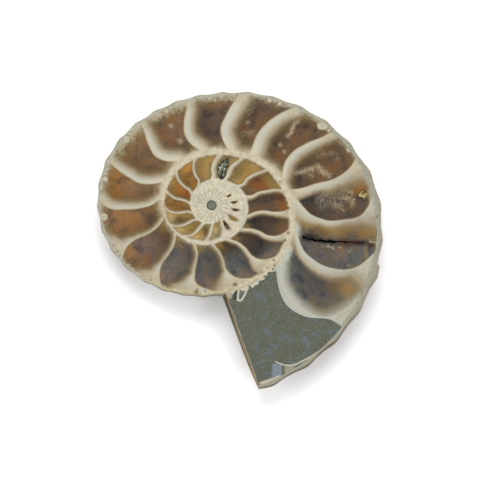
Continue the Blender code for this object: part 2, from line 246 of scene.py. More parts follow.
# The walls' tones along the coil. A whorl's wall is the outer one of its own angle.
WALL_TONES = (
    (-200, "cream"), (60, "cream"), (95, "rose"), (120, "wall"), (330, "wall"),
    (364, "ivory"), (400, "ivory"), (425, "chalk"), (590, "chalk"), (615, "ash"),
    (700, "ash"),
)

CHAMBER_MARK = 0
WALL_MARK = 1
SEDIMENT_MARK = 2

# Slots of the stone's mesh.
CALCITE, SEDIMENT, SHELL, FRACTURE = range(4)

LAMP_SHADE = 0.65  # how much of a tone is left under the lamps
SKY_HAZE = 0.010  # what the polish mirrors of the sky


def linear(hex_colour):
    """A linear RGB triple from an sRGB hex string."""
    values = [int(hex_colour[k:k + 2], 16) / 255.0 for k in (1, 3, 5)]
    return tuple(v / 12.92 if v <= 0.04045 else ((v + 0.055) / 1.055) ** 2.4 for v in values)


# ------------------------------------------------------------------------ the coil's rules


def azimuth(growth):
    """The direction of a growth angle in the face plane, in radians from +X."""
    return math.radians(BREAK_AZIMUTH - growth)


def self_similar(size_at_end, growth):
    """A size that grows by WHORL_GROWTH each turn of the coil."""
    return size_at_end * WHORL_GROWTH ** ((growth - END_ANGLE) / TURN)


@lru_cache(maxsize=None)
def wall_radius(growth):
    """The outer wall's radius in the face: a smooth curve through WALL_RADII."""
    first, last = WALL_RADII[0], WALL_RADII[-1]
    if growth < first[0]:
        return first[1] * WHORL_GROWTH ** ((growth - first[0]) / TURN)
    if growth >= last[0]:
        return last[1]
    k = max(i for i, (angle, _) in enumerate(WALL_RADII) if angle <= growth)
    near, far = WALL_RADII[k], WALL_RADII[k + 1]
    before = WALL_RADII[max(k - 1, 0)]
    after = WALL_RADII[min(k + 2, len(WALL_RADII) - 1)]
    span = far[0] - near[0]
    slope_near = (far[1] - before[1]) / (far[0] - before[0]) * span
    slope_far = (after[1] - near[1]) / (after[0] - near[0]) * span
    t = (growth - near[0]) / span
    return ((2 * t**3 - 3 * t**2 + 1) * near[1] + (t**3 - 2 * t**2 + t) * slope_near
            + (3 * t**2 - 2 * t**3) * far[1] + (t**3 - t**2) * slope_far)


def seam_radius(growth):
    """Where a whorl's flank meets the whorl inside it."""
    return self_similar(SEAM_RADIUS_AT_END, growth)


def middle_plane_depth(radius, growth):
    """How deep the shell's middle plane lies under the polished face."""
    towards_lean = math.cos(azimuth(growth) - math.radians(CUT_LEAN_AZIMUTH))
    return CUT_OFFSET + CUT_LEAN * radius * towards_lean


@lru_cache(maxsize=None)
def cross_section(growth):
    """A whorl's widest radius, reach outward, half breadth and angle at the saw cut."""
    seam = seam_radius(growth)
    wall = wall_radius(growth)
    widest = seam + WIDEST_SHARE * (wall - seam)
    breadth = self_similar(BREADTH_AT_END, growth)
    cut_angle = -math.asin(min(MOST_CUT, middle_plane_depth(wall, growth) / breadth))
    return widest, (wall - widest) / math.cos(cut_angle), breadth, cut_angle


def flank_angle_at(growth, radius):
    """The ellipse angle at which the flank passes a radius."""
    widest, reach, _, _ = cross_section(growth)
    return math.acos(max(-1.0, min(1.0, (radius - widest) / reach)))


def relief(growth, radius, angle):
    """How far ribs, riblets and the flake stand out from the ellipse."""
    seam = seam_radius(growth)
    wall = wall_radius(growth)
    share = (radius - seam) / (wall - seam)
    swung = growth - RIB_SWING * math.sin(2.0 * math.pi * share)
    wave = 0.5 + 0.5 * math.cos(2.0 * math.pi * (swung - RIB_PHASE) / RIB_PITCH)
    fade = (share - RIB_START_SHARE) / (RIB_FULL_SHARE - RIB_START_SHARE)
    fade = min(1.0, max(0.0, fade))
    height = fade * wave**RIB_SHARPNESS * RIB_HEIGHT_PER_RADIUS * wall
    riblet = 0.5 - 0.5 * math.cos(2.0 * math.pi * swung / RIBLET_PITCH)
    height -= fade * math.sin(angle) * riblet * RIBLET_DEPTH_PER_RADIUS * wall
    if FLAKE_SPAN[0] <= growth < FLAKE_SPAN[1]:
        left = (FLAKE_SPAN[1] - growth) / (FLAKE_SPAN[1] - FLAKE_SPAN[0])
        height += FLAKE_HEIGHT * left * max(0.0, math.cos(angle)) ** 3
    return height - SKIN_INSET


def flank_point(growth, angle):
    """Radius and depth on the flank at an ellipse angle: a right one is the widest place."""
    widest, reach, breadth, _ = cross_section(growth)
    radius = widest + reach * math.cos(angle)
    height = relief(growth, radius, angle)
    depth = middle_plane_depth(radius, growth) + (breadth + height) * math.sin(angle)
    return radius + height * math.cos(angle), depth


def whorl_point(growth, row):
    """Radius and depth of the underside on a row of a whorl."""
    seam = seam_radius(growth)
    if row < WIDEST_ROW:
        inside = growth - TURN
        seam_depth = flank_point(inside, flank_angle_at(inside, seam))[1]
        if row == 0:
            return seam, seam_depth
        height_share, drop_share = SHOULDER_ROWS[row - 1]
        radius = seam + height_share * (wall_radius(growth) - seam)
        full_depth = middle_plane_depth(radius, growth) + self_similar(BREADTH_AT_END, growth)
        return radius, seam_depth + drop_share * (full_depth - SKIN_INSET - seam_depth)
    covered_angle = flank_angle_at(growth, seam_radius(growth + TURN))
    if row < COVERED_ROW:
        share = (row - WIDEST_ROW) / (COVERED_ROW - WIDEST_ROW)
        return flank_point(growth, math.pi / 2.0 * (1.0 - share) + covered_angle * share)
    if row <= VENTER_ROW:
        share = (row - COVERED_ROW) / (VENTER_ROW - COVERED_ROW)
        return flank_point(growth, covered_angle * (1.0 - share))
    share = (row - VENTER_ROW) / (RIM_ROW - VENTER_ROW)
    radius, depth = flank_point(growth, cross_section(growth)[3] * share)
    return radius, depth if row < RIM_ROW else 0.0


def break_shift(growth, radius, depth):
    """Degrees by which the columns near the broken end bend to follow its plane."""
    away = abs((growth + TURN / 2.0) % TURN - TURN / 2.0)
    nearness = max(0.0, 1.0 - away / BREAK_BLEND)
    if nearness == 0.0:
        return 0.0
    reach = max(radius, BREAK_INNER_RADIUS)
    turned = math.degrees(math.asin(BREAK_LINE_DISTANCE / reach))
    lean = math.degrees(BREAK_LEAN * depth / reach)
    return nearness * (BREAK_AZIMUTH - BREAK_LINE_AZIMUTH + turned + lean)


def underside_place(growth, row):
    """A point of the underside in the cut frame."""
    radius, depth = whorl_point(growth, row)
    shift = break_shift(growth, radius, depth)
    bent = growth
    if shift:
        bent = growth + shift
        radius, depth = whorl_point(bent, row)
    turn = azimuth(bent)
    return Vector((math.cos(turn) * radius, math.sin(turn) * radius, -depth))


# ----------------------------------------------------------------- the face plan, as arrays

FINE_GROWTHS = np.arange(-10.0, 741.0, 0.5)
FINE_WALL = np.array([wall_radius(float(growth)) for growth in FINE_GROWTHS])


def through(table, growth):
    """A table of (growth angle, size) read at growth angles."""
    angles, sizes = zip(*table)
    return np.interp(growth, angles, sizes)


def wall_side(growth):
    """The radius of a wall's outer side. It is the inner limit of the next whorl."""
    outer = np.interp(growth, FINE_GROWTHS, FINE_WALL)
    return np.where(growth < 0.0, through(INNER_LIMITS, growth + TURN), outer)


def inner_limit(growth):
    """The radius at which the chambers begin."""
    return wall_side(growth - TURN)


def outer_limit(growth):
    """The radius at which the chambers end and the shell's wall begins."""
    return np.where(growth < TURN, through(OUTER_LIMITS, growth),
                    wall_side(growth) - SHELL_THICKNESS)


def septum_angle(k, share):
    """The growth angle of a septum at shares of the way from the inner wall to the outer."""
    knots, angles = np.array(SEPTUM_SHARES), np.array(SEPTA[k])
    slopes = np.gradient(angles, knots)
    near = np.clip(np.searchsorted(knots, share, side="right") - 1, 0, len(knots) - 2)
    span = knots[near + 1] - knots[near]
    t = (share - knots[near]) / span
    return ((2 * t**3 - 3 * t**2 + 1) * angles[near] + (3 * t**2 - 2 * t**3) * angles[near + 1]
            + span * ((t**3 - 2 * t**2 + t) * slopes[near] + (t**3 - t**2) * slopes[near + 1]))


def on_face(growth, radius):
    """Points of the face from growth angles and radii, as rows of x and y."""
    turn = np.radians(BREAK_AZIMUTH - growth)
    return np.stack([np.cos(turn) * radius, np.sin(turn) * radius], axis=-1)


def septum_line(k, steps=40):
    """A septum's crisp edge as a line of points from the inner wall to the outer."""
    share = np.linspace(0.0, 1.0, steps + 1)
    growth = septum_angle(k, share)
    inner, outer = inner_limit(growth), outer_limit(growth)
    return on_face(growth, inner + share * (outer - inner))


def distance_to_line(points, line):
    """How far each point is from a line of points."""
    nearest = np.full(len(points), np.inf)
    for near, far in zip(line, line[1:]):
        along = far - near
        share = np.clip((points - near) @ along / max(along @ along, 1e-12), 0.0, 1.0)
        away = points - near - share[:, None] * along
        nearest = np.minimum(nearest, np.hypot(away[:, 0], away[:, 1]))
    return nearest


def smooth_step(value, low, high):
    """0 below low, 1 above high and a smooth rise between."""
    t = np.clip((value - low) / (high - low), 0.0, 1.0)
    return t * t * (3.0 - 2.0 * t)


def inside_outline(points, outline):
    """Which points lie inside a closed outline."""
    found = np.zeros(len(points), bool)
    x, y = points[:, 0], points[:, 1]
    for near, far in zip(outline, np.roll(outline, -1, axis=0)):
        crosses = (near[1] > y) != (far[1] > y)
        reach = near[0] + (y - near[1]) * (far[0] - near[0]) / (far[1] - near[1] + 1e-15)
        found ^= crosses & (x < reach)
    return found


def growth_of(points):
    """The growth angle, in the whorl that holds it, and the radius of points of the face."""
    radius = np.hypot(points[:, 0], points[:, 1])
    turn = (BREAK_AZIMUTH - np.degrees(np.arctan2(points[:, 1], points[:, 0]))) % TURN
    growth = turn.copy()
    growth = np.where(radius > wall_side(turn), turn + TURN, growth)
    growth = np.where(radius < inner_limit(turn), turn - TURN, growth)
    return growth, radius


# ------------------------------------------------------------------- hollows in the face

# Empty chambers near the centre, as (growth angle, middle radius, length, width, depth).
EMPTY_CHAMBERS = (
    (253.0, 5.6, 1.3, 0.5, 0.7), (274.0, 6.3, 1.7, 0.6, 0.8),
    (292.5, 6.8, 2.0, 0.7, 0.9), (335.5, 6.9, 2.9, 1.1, 1.1),
)
GRAVEL_POCKET = (210.3, 10.7, 5.8, 3.0, 1.25)
CRYSTAL_POCKET = (279.0, 42.4, 3.0, 2.6, 0.6)
FISSURE_POINTS = ((25.4, -9.0), (29.0, -9.9), (33.0, -10.2), (38.0, -10.3), (43.2, -10.6))
FISSURE_HALF_WIDTHS = (0.30, 0.42, 0.50, 0.26, 0.10)
FISSURE_DEPTH = 1.0
HOLLOW_RINGS = ((1.0, 0.0), (0.86, 0.55), (0.55, 0.95), (0.25, 1.0))


def directions(growth):
    """Unit vectors outward and forward, towards the open end, at a growth angle."""
    turn = azimuth(growth)
    outward = np.array((math.cos(turn), math.sin(turn)))
    return outward, np.array((outward[1], -outward[0]))


def crescent(growth, radius, length, width):
    """The outline of an empty chamber: a crescent that bows towards the open end."""
    outward, forward = directions(growth)
    steps = 9
    points = []
    for side, bow in ((1.0, 0.75), (-1.0, -0.25)):
        for k in range(steps):
            t = side * (1.0 - 2.0 * k / steps)
            bulge = (1.0 - t * t) * width * bow
            points.append(outward * (radius + t * length / 2.0) + forward * bulge)
    return np.array(points)


def pocket(growth, radius, length, width):
    """The outline of an uneven rounded pocket."""
    outward, forward = directions(growth)
    turns = np.radians(np.arange(0.0, 360.0, 15.0))
    half = 0.5 + 0.07 * np.sin(3.0 * turns) + 0.05 * np.cos(2.0 * turns)
    half += 0.02 * np.sin(7.0 * turns)
    return (outward * (radius + length * half * np.cos(turns))[:, None]
            + forward * (width * half * np.sin(turns))[:, None])


def fissure():
    """The outline of the fissure: a long crack that opens and closes."""
    steps = np.linspace(0.0, 1.0, 45)
    knots = np.linspace(0.0, 1.0, len(FISSURE_POINTS))
    centre = np.stack([np.interp(steps, knots, axis) for axis in zip(*FISSURE_POINTS)], 1)
    centre[:, 1] += 0.10 * np.sin(41.0 * steps) + 0.06 * np.sin(77.0 * steps)
    half = np.interp(steps, knots, FISSURE_HALF_WIDTHS)
    half = half * (0.62 + 0.38 * np.sin(59.0 * steps) * np.sin(23.0 * steps + 1.0))
    upper = centre + np.stack([0.0 * half, half], 1)
    lower = centre - np.stack([0.0 * half, half], 1)
    return np.concatenate([upper, lower[::-1]])


def hollows():
    """Every hollow as (outline, depth)."""
    found = [(crescent(*size[:4]), size[4]) for size in EMPTY_CHAMBERS]
    found.append((pocket(*GRAVEL_POCKET[:4]), GRAVEL_POCKET[4]))
    found.append((pocket(*CRYSTAL_POCKET[:4]), CRYSTAL_POCKET[4]))
    return found


# ----------------------------------------------------------------------- making the stone

# Rounded lumps of shell along the rim, as (growth angle, depth under the wall's outer
# side, half width, half height).
LUMPS = (
    (456.8, 1.3, 1.25, 1.3), (477, 1.4, 0.9, 1.0), (479.6, 0.9, 0.6, 0.5),
    (482, 1.1, 0.6, 0.5), (501, 1.4, 1.1, 1.2), (504.5, 1.1, 0.8, 0.6),
    (527.5, 1.3, 0.6, 0.9), (530.3, 0.9, 0.6, 0.5), (533.5, 0.9, 0.6, 0.5),
    (552, 1.2, 1.0, 0.5), (554.5, 1.9, 0.5, 0.6), (582, 1.2, 0.8, 0.7),
    (584, 1.0, 0.6, 0.5), (586.6, 1.2, 0.7, 0.8), (607.3, 1.4, 1.6, 1.4),
    (610.5, 1.2, 0.6, 0.8), (621, 1.2, 1.2, 0.6), (398.5, 0.8, 0.5, 0.4),
    (400, 0.9, 0.5, 0.4), (402.5, 0.8, 0.6, 0.4), (427, 1.0, 1.0, 0.3),
)

# Pores and stains in the walls, as (growth angle, depth under the wall's outer side,
# radius, tone).
PORES = (
    (376, 0.7, 0.22, "bark"), (388, 0.6, 0.2, "bark"), (412, 1.0, 0.25, "bark"),
    (417, 0.9, 0.22, "bark"), (434.3, 0.8, 0.22, "soot"), (436.8, 1.0, 0.25, "soot"),
    (441, 0.9, 0.22, "bark"), (478, 0.6, 0.2, "bark"), (588.3, 0.9, 0.25, "bark"),
    (647, 0.3, 0.4, "bark"), (383, 0.8, 0.5, "olive"), (264, 1.0, 0.32, "umber"),
    (285.5, 1.2, 0.34, "umber"), (288, 1.8, 0.3, "steel"), (302.5, 1.0, 0.4, "moss"),
    (308.5, 1.2, 0.38, "moss"), (326.5, 0.1, 0.45, "umber"), (324.5, 1.2, 0.3, "umber"),
    (331, 1.2, 0.3, "umber"), (336, 1.2, 0.35, "umber"), (656, 0.6, 0.25, "milk"),
    (470, 1.0, 0.18, "bark"), (493, 1.1, 0.2, "bark"), (516, 1.1, 0.2, "walnut"),
    (566, 0.8, 0.2, "bark"), (573, 1.1, 0.22, "walnut"), (597, 1.2, 0.22, "walnut"),
    (632, 0.8, 0.2, "bark"),
)

# Stains in the clear calcite, as (x, y, half length, half width, turn, tone, strength).
CLEAR_BLOTS = (
    (27.3, -9.1, 2.1, 1.1, 0, "jet", 0.95), (30.2, -9.8, 1.5, 0.7, -5, "jet", 0.85),
    (32.9, -10.2, 1.1, 0.8, 0, "jet", 0.95), (37.4, -10.5, 2.4, 1.1, -3, "peat", 0.85),
    (41.1, -10.5, 2.4, 0.8, -5, "maroon", 0.9),
    (44.8, -11.1, 1.5, 0.9, -10, "peat", 0.8), (36, -13.7, 2.0, 2.0, 0, "taupe", 0.7),
    (43.2, -13.1, 0.6, 2.0, 0, "khaki", 0.55), (29.8, -7.6, 3.4, 1.7, -5, "soot", 0.5),
    (38.8, -6.7, 3.4, 2.5, 0, "coffee", 0.5), (33.4, 2.2, 3.9, 2.8, 0, "smoke", 0.35),
    (41.1, 4.7, 2.0, 1.3, 45, "amber", 0.6), (42.9, -7.9, 2.6, 1.5, 30, "amber", 0.45),
    (39.6, -23.8, 3.0, 3.6, 0, "tan", 0.6), (43.0, -20.5, 2.6, 1.2, -30, "tan", 0.7),
)

# Stains in the walls near the broken end, in the same order.
PALE_BLOTS = (
    (-1.8, -23.9, 1.3, 0.8, 0, "milk", 0.9), (-1.8, -23.9, 0.5, 0.28, 0, "moss", 0.7),
    (-4, -24, 0.4, 0.7, 0, "olive", 0.8), (2.2, -24.7, 1.1, 0.5, 0, "rose", 0.7),
    (3.6, -25.4, 0.34, 0.34, 0, "bark", 0.8), (6.6, -22.2, 0.7, 0.5, 0, "walnut", 0.8),
)

# Veils of small crystals in the clear calcite, as (line of points, half width, strength).
VEILS = (
    (((24.4, 23.8), (23.2, 23.1), (22.6, 21.1), (21.4, 19.5)), 0.25, 0.8),
    (((19.1, 17), (19.2, 16.8)), 0.22, 0.8), (((20.2, 15.1), (20.3, 15)), 0.22, 0.8),
    (((23.5, 9), (26, 9.6), (28.3, 10.3)), 0.28, 0.8),
    (((29.8, 10.8), (30.5, 9.9), (32.7, 8.3)), 0.33, 0.75),
    (((26.6, 8.6), (27.7, 8.3)), 0.33, 0.5),
    (((30.2, 14.2), (33.3, 14.7), (35.2, 13.5)), 0.33, 0.35),
    (((10.2, 23.4), (10.3, 23.3)), 0.22, 0.7), (((10.4, 25.9), (11.6, 28.1)), 0.28, 0.3),
    (((8.9, 20), (11.6, 20.3)), 0.28, 0.4), (((37.2, 4.7), (37.9, 4.3)), 0.22, 0.8),
    (((38.3, 3.7), (39.1, 3.7)), 0.22, 0.8), (((36.7, 2.1), (38.9, 1.8)), 0.39, 0.7),
    (((38.9, 2.3), (39.4, 0.1)), 0.28, 0.6), (((34.6, 1), (35.4, 1.3)), 0.22, 0.5),
    (((35, -0.1), (36, 0.1)), 0.28, 0.6), (((36.1, -0.7), (36.9, -1.4)), 0.22, 0.5),
    (((30.4, 1.5), (32.6, 3.7), (35.4, 2.6), (37.1, 4.3)), 0.44, 0.45),
    (((30.9, -0.2), (33.2, 0.9), (34.8, -0.2)), 0.39, 0.35),
    (((44.2, -10.2), (46, -10.6), (47.7, -10.9)), 0.12, 0.9),
    (((32.3, -11.4), (33.9, -12)), 0.17, 0.7), (((31.1, -11.3), (31.2, -11.4)), 0.12, 0.7),
    (((35.8, -11.8), (36, -11.9)), 0.12, 0.6), (((38.3, -13), (39, -12.5)), 0.14, 0.6),
    (((38.2, -16.8), (38.4, -16.9)), 0.14, 0.6),
    (((-11.5, 22.3), (-11.4, 22.2)), 0.22, 0.8), (((-9, 18.1), (-8.9, 18)), 0.28, 0.8),
)

# Bits of broken shell in the siltstone, each a line of points with its half width.
SHELL_BITS = (
    (((7.7, -22.8), (10.2, -22.8), (9.4, -24.9), (8.3, -26.7), (7.3, -26.6), (7.7, -22.8)),
     0.26),
    (((17.8, -43.7), (20.1, -44.6), (21.9, -44.8), (23.7, -44.4), (25.8, -43.3),
      (27.6, -42.4), (31.2, -40), (36, -36)), 0.2),
)

# Flat patches seen in the siltstone, each an outline with its tone.
PLATES = (
    (((3.8, -23.6), (6, -23.6), (5.7, -26.2), (4, -26)), "dun"),
    (((6, -24.1), (7.3, -24.1), (7, -26.7), (5.7, -26.5)), "soot"),
    (((8, -23.2), (9.8, -23.2), (8.9, -25), (7.9, -25)), "silt"),
    (((16.9, -44.2), (19.7, -44.2), (19.7, -47.8), (16.9, -48)), "steel"),
    (((20.4, -45), (23.6, -44.6), (22.6, -46.6), (20.4, -48.2)), "pebble"),
    (((13.3, -49.4), (16.9, -48.2), (19, -47.5), (20.4, -48.5), (19, -50), (14, -51)),
     "cream"),
    (((14.4, -50), (17.5, -49.7), (17.5, -50.3), (14.5, -50.6)), "tan"),
)

CHAMFER_DROP = 0.12
CHAMFER_INSET = 0.10
FILL_SPACING = 0.42
FINE_SPACING = 0.21
FINE_RADIUS = 10.6
CORE_RADIUS = 1.42
CORE_REACH = 4.6
RIM_SPACING = 0.26
RIM_ZONE = 2.6
LUMP_INSET = 0.12
SECOND_WHORL_SOFTNESS = 0.30
THIRD_WHORL_SOFTNESS = 0.85
INNER_SOFTNESS = 0.8
OUTER_SOFTNESS = 0.5
CRISP_WIDTH = 0.18  # the edge between clear calcite and the next septum
LAST_CRISP_WIDTH = 1.6
MERGING = 0.35  # how softly the milky edges run into each other

# Small closed chambers of the third whorl, as (growth angle, radius, length, width).
CORE_CELLS = (
    (-47.5, 6.9, 3.3, 1.25), (-24.5, 6.9, 3.6, 1.5), (-67.5, 6.8, 2.4, 0.9),
    (-86.0, 6.3, 2.1, 0.8), (-107.0, 5.6, 1.6, 0.7),
)


class Stone:
    """Points, faces, slots and corner marks of the stone while it is being drawn."""

    def __init__(self):
        self.points = []
        self.faces = []
        self.slots = []
        self.maps = []

    def point(self, place):
        self.points.append(tuple(place))
        return len(self.points) - 1

    def face(self, corners, slot, places):
        if len(set(corners)) > 2:
            kept = [k for k, corner in enumerate(corners) if corner != corners[k - 1]]
            self.faces.append([corners[k] for k in kept])
            self.maps.append([places[k] for k in kept])
            self.slots.append(slot)


def underside_grid(stone):
    """The underside's points by (column, row), and how far each is from its seam.

    Whorls share the points on their seams. A column's unrolled radius grows outward along
    the surface, for the texture map.
    """
    per_turn = round(TURN / COLUMN_STEP)
    columns = round((END_ANGLE - UMBILICUS_START) / COLUMN_STEP)
    last_whorl = round((LAST_WHORL_START - UMBILICUS_START) / COLUMN_STEP)
    grid, unrolled = {}, {}
    for column in range(columns + 1):
        growth = UMBILICUS_START + column * COLUMN_STEP
        rows = RIM_ROW if column >= last_whorl else COVERED_ROW
        reach = 0.0
        for row in range(rows + 1):
            inner = (column - per_turn, COVERED_ROW)
            if row == 0 and inner in grid:
                grid[column, row] = grid[inner]
                reach = unrolled[inner]
                before = Vector(stone.points[grid[inner]])
            else:
                place = underside_place(growth, row)
                if row == 0:
                    reach = place.xy.length
                    before = place
                if 0 < row < RIM_ROW:
                    worn = noise.fractal(place / WEATHERING_SIZE, 0.6, 2.1, 4)
                    sink = WEATHERING_DEPTH * min(1.0, max(0.0, 0.5 + worn))
                    place = place * (1.0 - sink / max(8.0, place.length))
                reach += (place - before).length
                before = place
                grid[column, row] = stone.point(place)
            unrolled[column, row] = reach
    return grid, unrolled, columns, per_turn, last_whorl


def add_coil(stone, grid, unrolled, columns, last_whorl):
    """The underside's skin: quads between neighbouring columns."""
    for column in range(columns):
        rows = RIM_ROW if column >= last_whorl else COVERED_ROW
        for row in range(rows):
            keys = ((column, row), (column, row + 1), (column + 1, row + 1), (column + 1, row))
            places = [polar_map(UMBILICUS_START + c * COLUMN_STEP, unrolled[c, r])
                      for c, r in keys]
            stone.face([grid[key] for key in keys], SHELL, places)


def polar_map(growth, reach):
    """A place on the texture map's disc for the underside."""
    turn = azimuth(growth)
    spread = 0.185 * reach / 62.0
    return 0.80 + spread * math.cos(turn), 0.80 + spread * math.sin(turn)


def face_map(x, y):
    """A place on the texture map's square for the polished face."""
    return 0.01 + 0.60 * (x + 36.0) / 86.0, 0.01 + 0.60 * (y + 53.0) / 86.0


def add_umbilicus_floor(stone, grid, unrolled, per_turn):
    """The middle of the umbilicus: a shallow fan over the innermost whorls."""
    edge = [(0, row) for row in range(COVERED_ROW, 0, -1)]
    edge += [(column, 0) for column in range(per_turn)]
    depth = CUT_OFFSET + self_similar(BREADTH_AT_END, UMBILICUS_START)
    centre = stone.point((0.0, 0.0, -depth))
    for near, far in zip(edge, edge[1:] + edge[:1]):
        places = [polar_map(UMBILICUS_START + c * COLUMN_STEP, unrolled[c, r])
                  for c, r in (near, far)]
        stone.face((grid[near], grid[far], centre), SHELL, places + [polar_map(0.0, 0.0)])


def add_break(stone, grid, columns, last_whorl):
    """The rough broken end. Returns its top points from the rim inward."""
    outer = [grid[columns, row] for row in range(RIM_ROW + 1)]
    inner = [grid[last_whorl, row] for row in range(COVERED_ROW, RIM_ROW + 1)]
    line = math.radians(BREAK_LINE_AZIMUTH)
    across = Vector((math.sin(line), -math.cos(line), 0.0))
    chains = [outer]
    for number in range(1, BREAK_CHAINS + 1):
        chain = [outer[0]]
        for k in range(1, len(inner)):
            along = k / (len(inner) - 1) * (len(outer) - 1)
            near = Vector(stone.points[outer[int(along)]])
            far = Vector(stone.points[outer[min(int(along) + 1, len(outer) - 1)]])
            end = Vector(stone.points[inner[k]])
            point = near.lerp(far, along % 1.0).lerp(end, number / (BREAK_CHAINS + 1))
            bump = BREAK_ROUGHNESS * noise.noise(point / BREAK_LUMP_SIZE)
            bump += 0.5 * BREAK_ROUGHNESS * noise.noise(point / (0.3 * BREAK_LUMP_SIZE))
            if k == len(inner) - 1:
                bump *= 0.6
            chain.append(stone.point(point + across * bump))
        chains.append(chain)
    chains.append(inner)
    along_line = Vector((math.cos(line), math.sin(line), 0.0))

    def place(index):
        x = Vector(stone.points[index]).dot(along_line)
        return 0.66 + 0.30 * (x - 20.0) / 40.0, 0.50 + 0.30 * stone.points[index][2] / 40.0

    for near, far in zip(chains, chains[1:]):
        i = j = 0
        while i < len(near) - 1 or j < len(far) - 1:
            ahead = (i + 1) / (len(near) - 1) <= (j + 1) / (len(far) - 1)
            if j == len(far) - 1 or (i < len(near) - 1 and ahead):
                corners = (near[i], near[i + 1], far[j])
                i += 1
            else:
                corners = (near[i], far[j + 1], far[j])
                j += 1
            stone.face(corners, FRACTURE, [place(corner) for corner in corners])
    return [chain[-1] for chain in chains]


def moved_inward(loop, inset):
    """A closed outline drawn inward by an inset. The outline runs clockwise."""
    before, after = np.roll(loop, 1, axis=0), np.roll(loop, -1, axis=0)
    along = after - before
    along /= np.linalg.norm(along, axis=1)[:, None]
    return loop + inset * np.stack([along[:, 1], -along[:, 0]], axis=1)


def fill_points(outline, spaced_from, holes):
    """An even field of points inside the outline, denser near the centre and the rim."""
    tree = KDTree(len(spaced_from))
    for k, place in enumerate(spaced_from):
        tree.insert((place[0], place[1], 0.0), k)
    tree.balance()
    found = []
    for spacing in (FILL_SPACING, FINE_SPACING, RIM_SPACING):
        reach = FINE_RADIUS if spacing == FINE_SPACING else 60.0
        steps = int(reach / spacing) + 1
        x, y = np.meshgrid(np.arange(-steps, steps + 1), np.arange(-steps, steps + 1))
        places = np.stack([(x + 0.5 * (y % 2)).ravel(), (y * math.sqrt(0.75)).ravel()], 1)
        places = places * spacing
        places = places[inside_outline(places, outline)]
        growth, radius = growth_of(places)
        fine = radius < FINE_RADIUS
        near_rim = (growth > TURN - 5.0) & (wall_side(growth) - radius < RIM_ZONE) & ~fine
        zone = {FILL_SPACING: ~fine & ~near_rim, FINE_SPACING: fine, RIM_SPACING: near_rim}
        places = places[zone[spacing]]
        for hole in holes:
            places = places[~inside_outline(places, hole)]
        for place in places:
            if tree.find((place[0], place[1], 0.0))[2] > 0.55 * spacing:
                found.append(place)
    return found


def face_lines(outline):
    """The lines that the face's triangles follow: septa, walls and the core's ring."""
    lines = [septum_line(k) for k in range(len(SEPTA))]
    walls = np.arange(-369.0, 368.0, 1.5)
    lines.append(on_face(walls, wall_side(walls)))
    shell = np.arange(-9.0, 727.0, 1.5)
    lines.append(on_face(shell, outer_limit(shell)))
    ring = np.arange(0.0, 361.0, 6.0)
    lines.append(on_face(ring, np.full(len(ring), CORE_RADIUS)))
    inner = moved_inward(outline, 0.25)
    kept = []
    for line in lines:
        inside = inside_outline(line, inner)
        run = []
        for place, good in zip(line, inside):
            if good:
                run.append(place)
            elif run:
                kept.append(np.array(run))
                run = []
        if run:
            kept.append(np.array(run))
    return kept


def add_face(stone, loop):
    """The polished face inside the outline whose points are the stone's loop."""
    outline = np.array([stone.points[k][:2] for k in loop])
    places = [(x, y, 0.0) for x, y in outline]
    edges = [(k, (k + 1) % len(loop)) for k in range(len(loop))]
    for line in face_lines(outline):
        start = len(places)
        places += [(x, y, 0.0) for x, y in line]
        edges += [(start + k, start + k + 1) for k in range(len(line) - 1)]
    outlines = [outline for outline, _ in hollows()] + [fissure()]
    for hollow, depth in hollows():
        middle = hollow.mean(axis=0)
        for width, sink in HOLLOW_RINGS:
            start = len(places)
            ring = middle + (hollow - middle) * width
            places += [(x, y, -depth * sink) for x, y in ring]
            edges += [(start + k, start + (k + 1) % len(ring)) for k in range(len(ring))]
    crack = fissure()
    half = len(crack) // 2
    start = len(places)
    places += [(x, y, 0.0) for x, y in crack]
    edges += [(start + k, start + (k + 1) % len(crack)) for k in range(len(crack))]
    middle_line = (crack[:half] + crack[half:][::-1]) / 2.0
    gap = np.abs(crack[:half, 1] - crack[half:][::-1, 1])
    start = len(places)
    places += [(x, y, -FISSURE_DEPTH * min(1.0, wide / 0.35))
               for (x, y), wide in zip(middle_line[1:-1], gap[1:-1])]
    edges += [(start + k, start + k + 1) for k in range(half - 3)]
    filled = fill_points(outline, [p[:2] for p in places], outlines)
    places += [(x, y, 0.0) for x, y in filled]

    spots, _, triangles, origins, _, _ = geometry.delaunay_2d_cdt(
        [Vector(place[:2]) for place in places], edges, [], 1, 1e-4)
    numbers = []
    for spot, origin in zip(spots, origins):
        if origin and origin[0] < len(loop):
            numbers.append(loop[origin[0]])
        else:
            depth = min((places[k][2] for k in origin), default=0.0)
            numbers.append(stone.point((spot.x, spot.y, depth)))
    flat = np.array([tuple(spot) for spot in spots])
    corners = np.array(triangles)
    marks = face_marks(flat, corners)
    for k, triangle in enumerate(triangles):
        slot = SEDIMENT if marks["region"][k] == SEDIMENT_MARK else CALCITE
        stone.face([numbers[c] for c in triangle], slot,
                   [face_map(*flat[c]) for c in triangle])
    return marks


def colour_of(name):
    """A tone's linear colour."""
    return np.array(linear(TONES[name]))


def mixed(colours, tone, weight):
    """Colours moved towards a named tone, or towards other colours, by weights."""
    target = colour_of(tone) if isinstance(tone, str) else tone
    return colours + (target - colours) * np.clip(weight, 0.0, 1.0)[..., None]


def wall_tones(growth):
    """The colour of the shell's walls along the coil."""
    angles = [angle for angle, _ in WALL_TONES]
    parts = zip(*(colour_of(name) for _, name in WALL_TONES))
    return np.stack([np.interp(growth, angles, part) for part in parts], axis=-1)


def least(parts):
    """The least of some depths, rounded off where two are alike."""
    parts = np.clip(np.array(parts), -8.0, 8.0)
    return -MERGING * np.log(np.exp(-parts / MERGING).sum(axis=0))


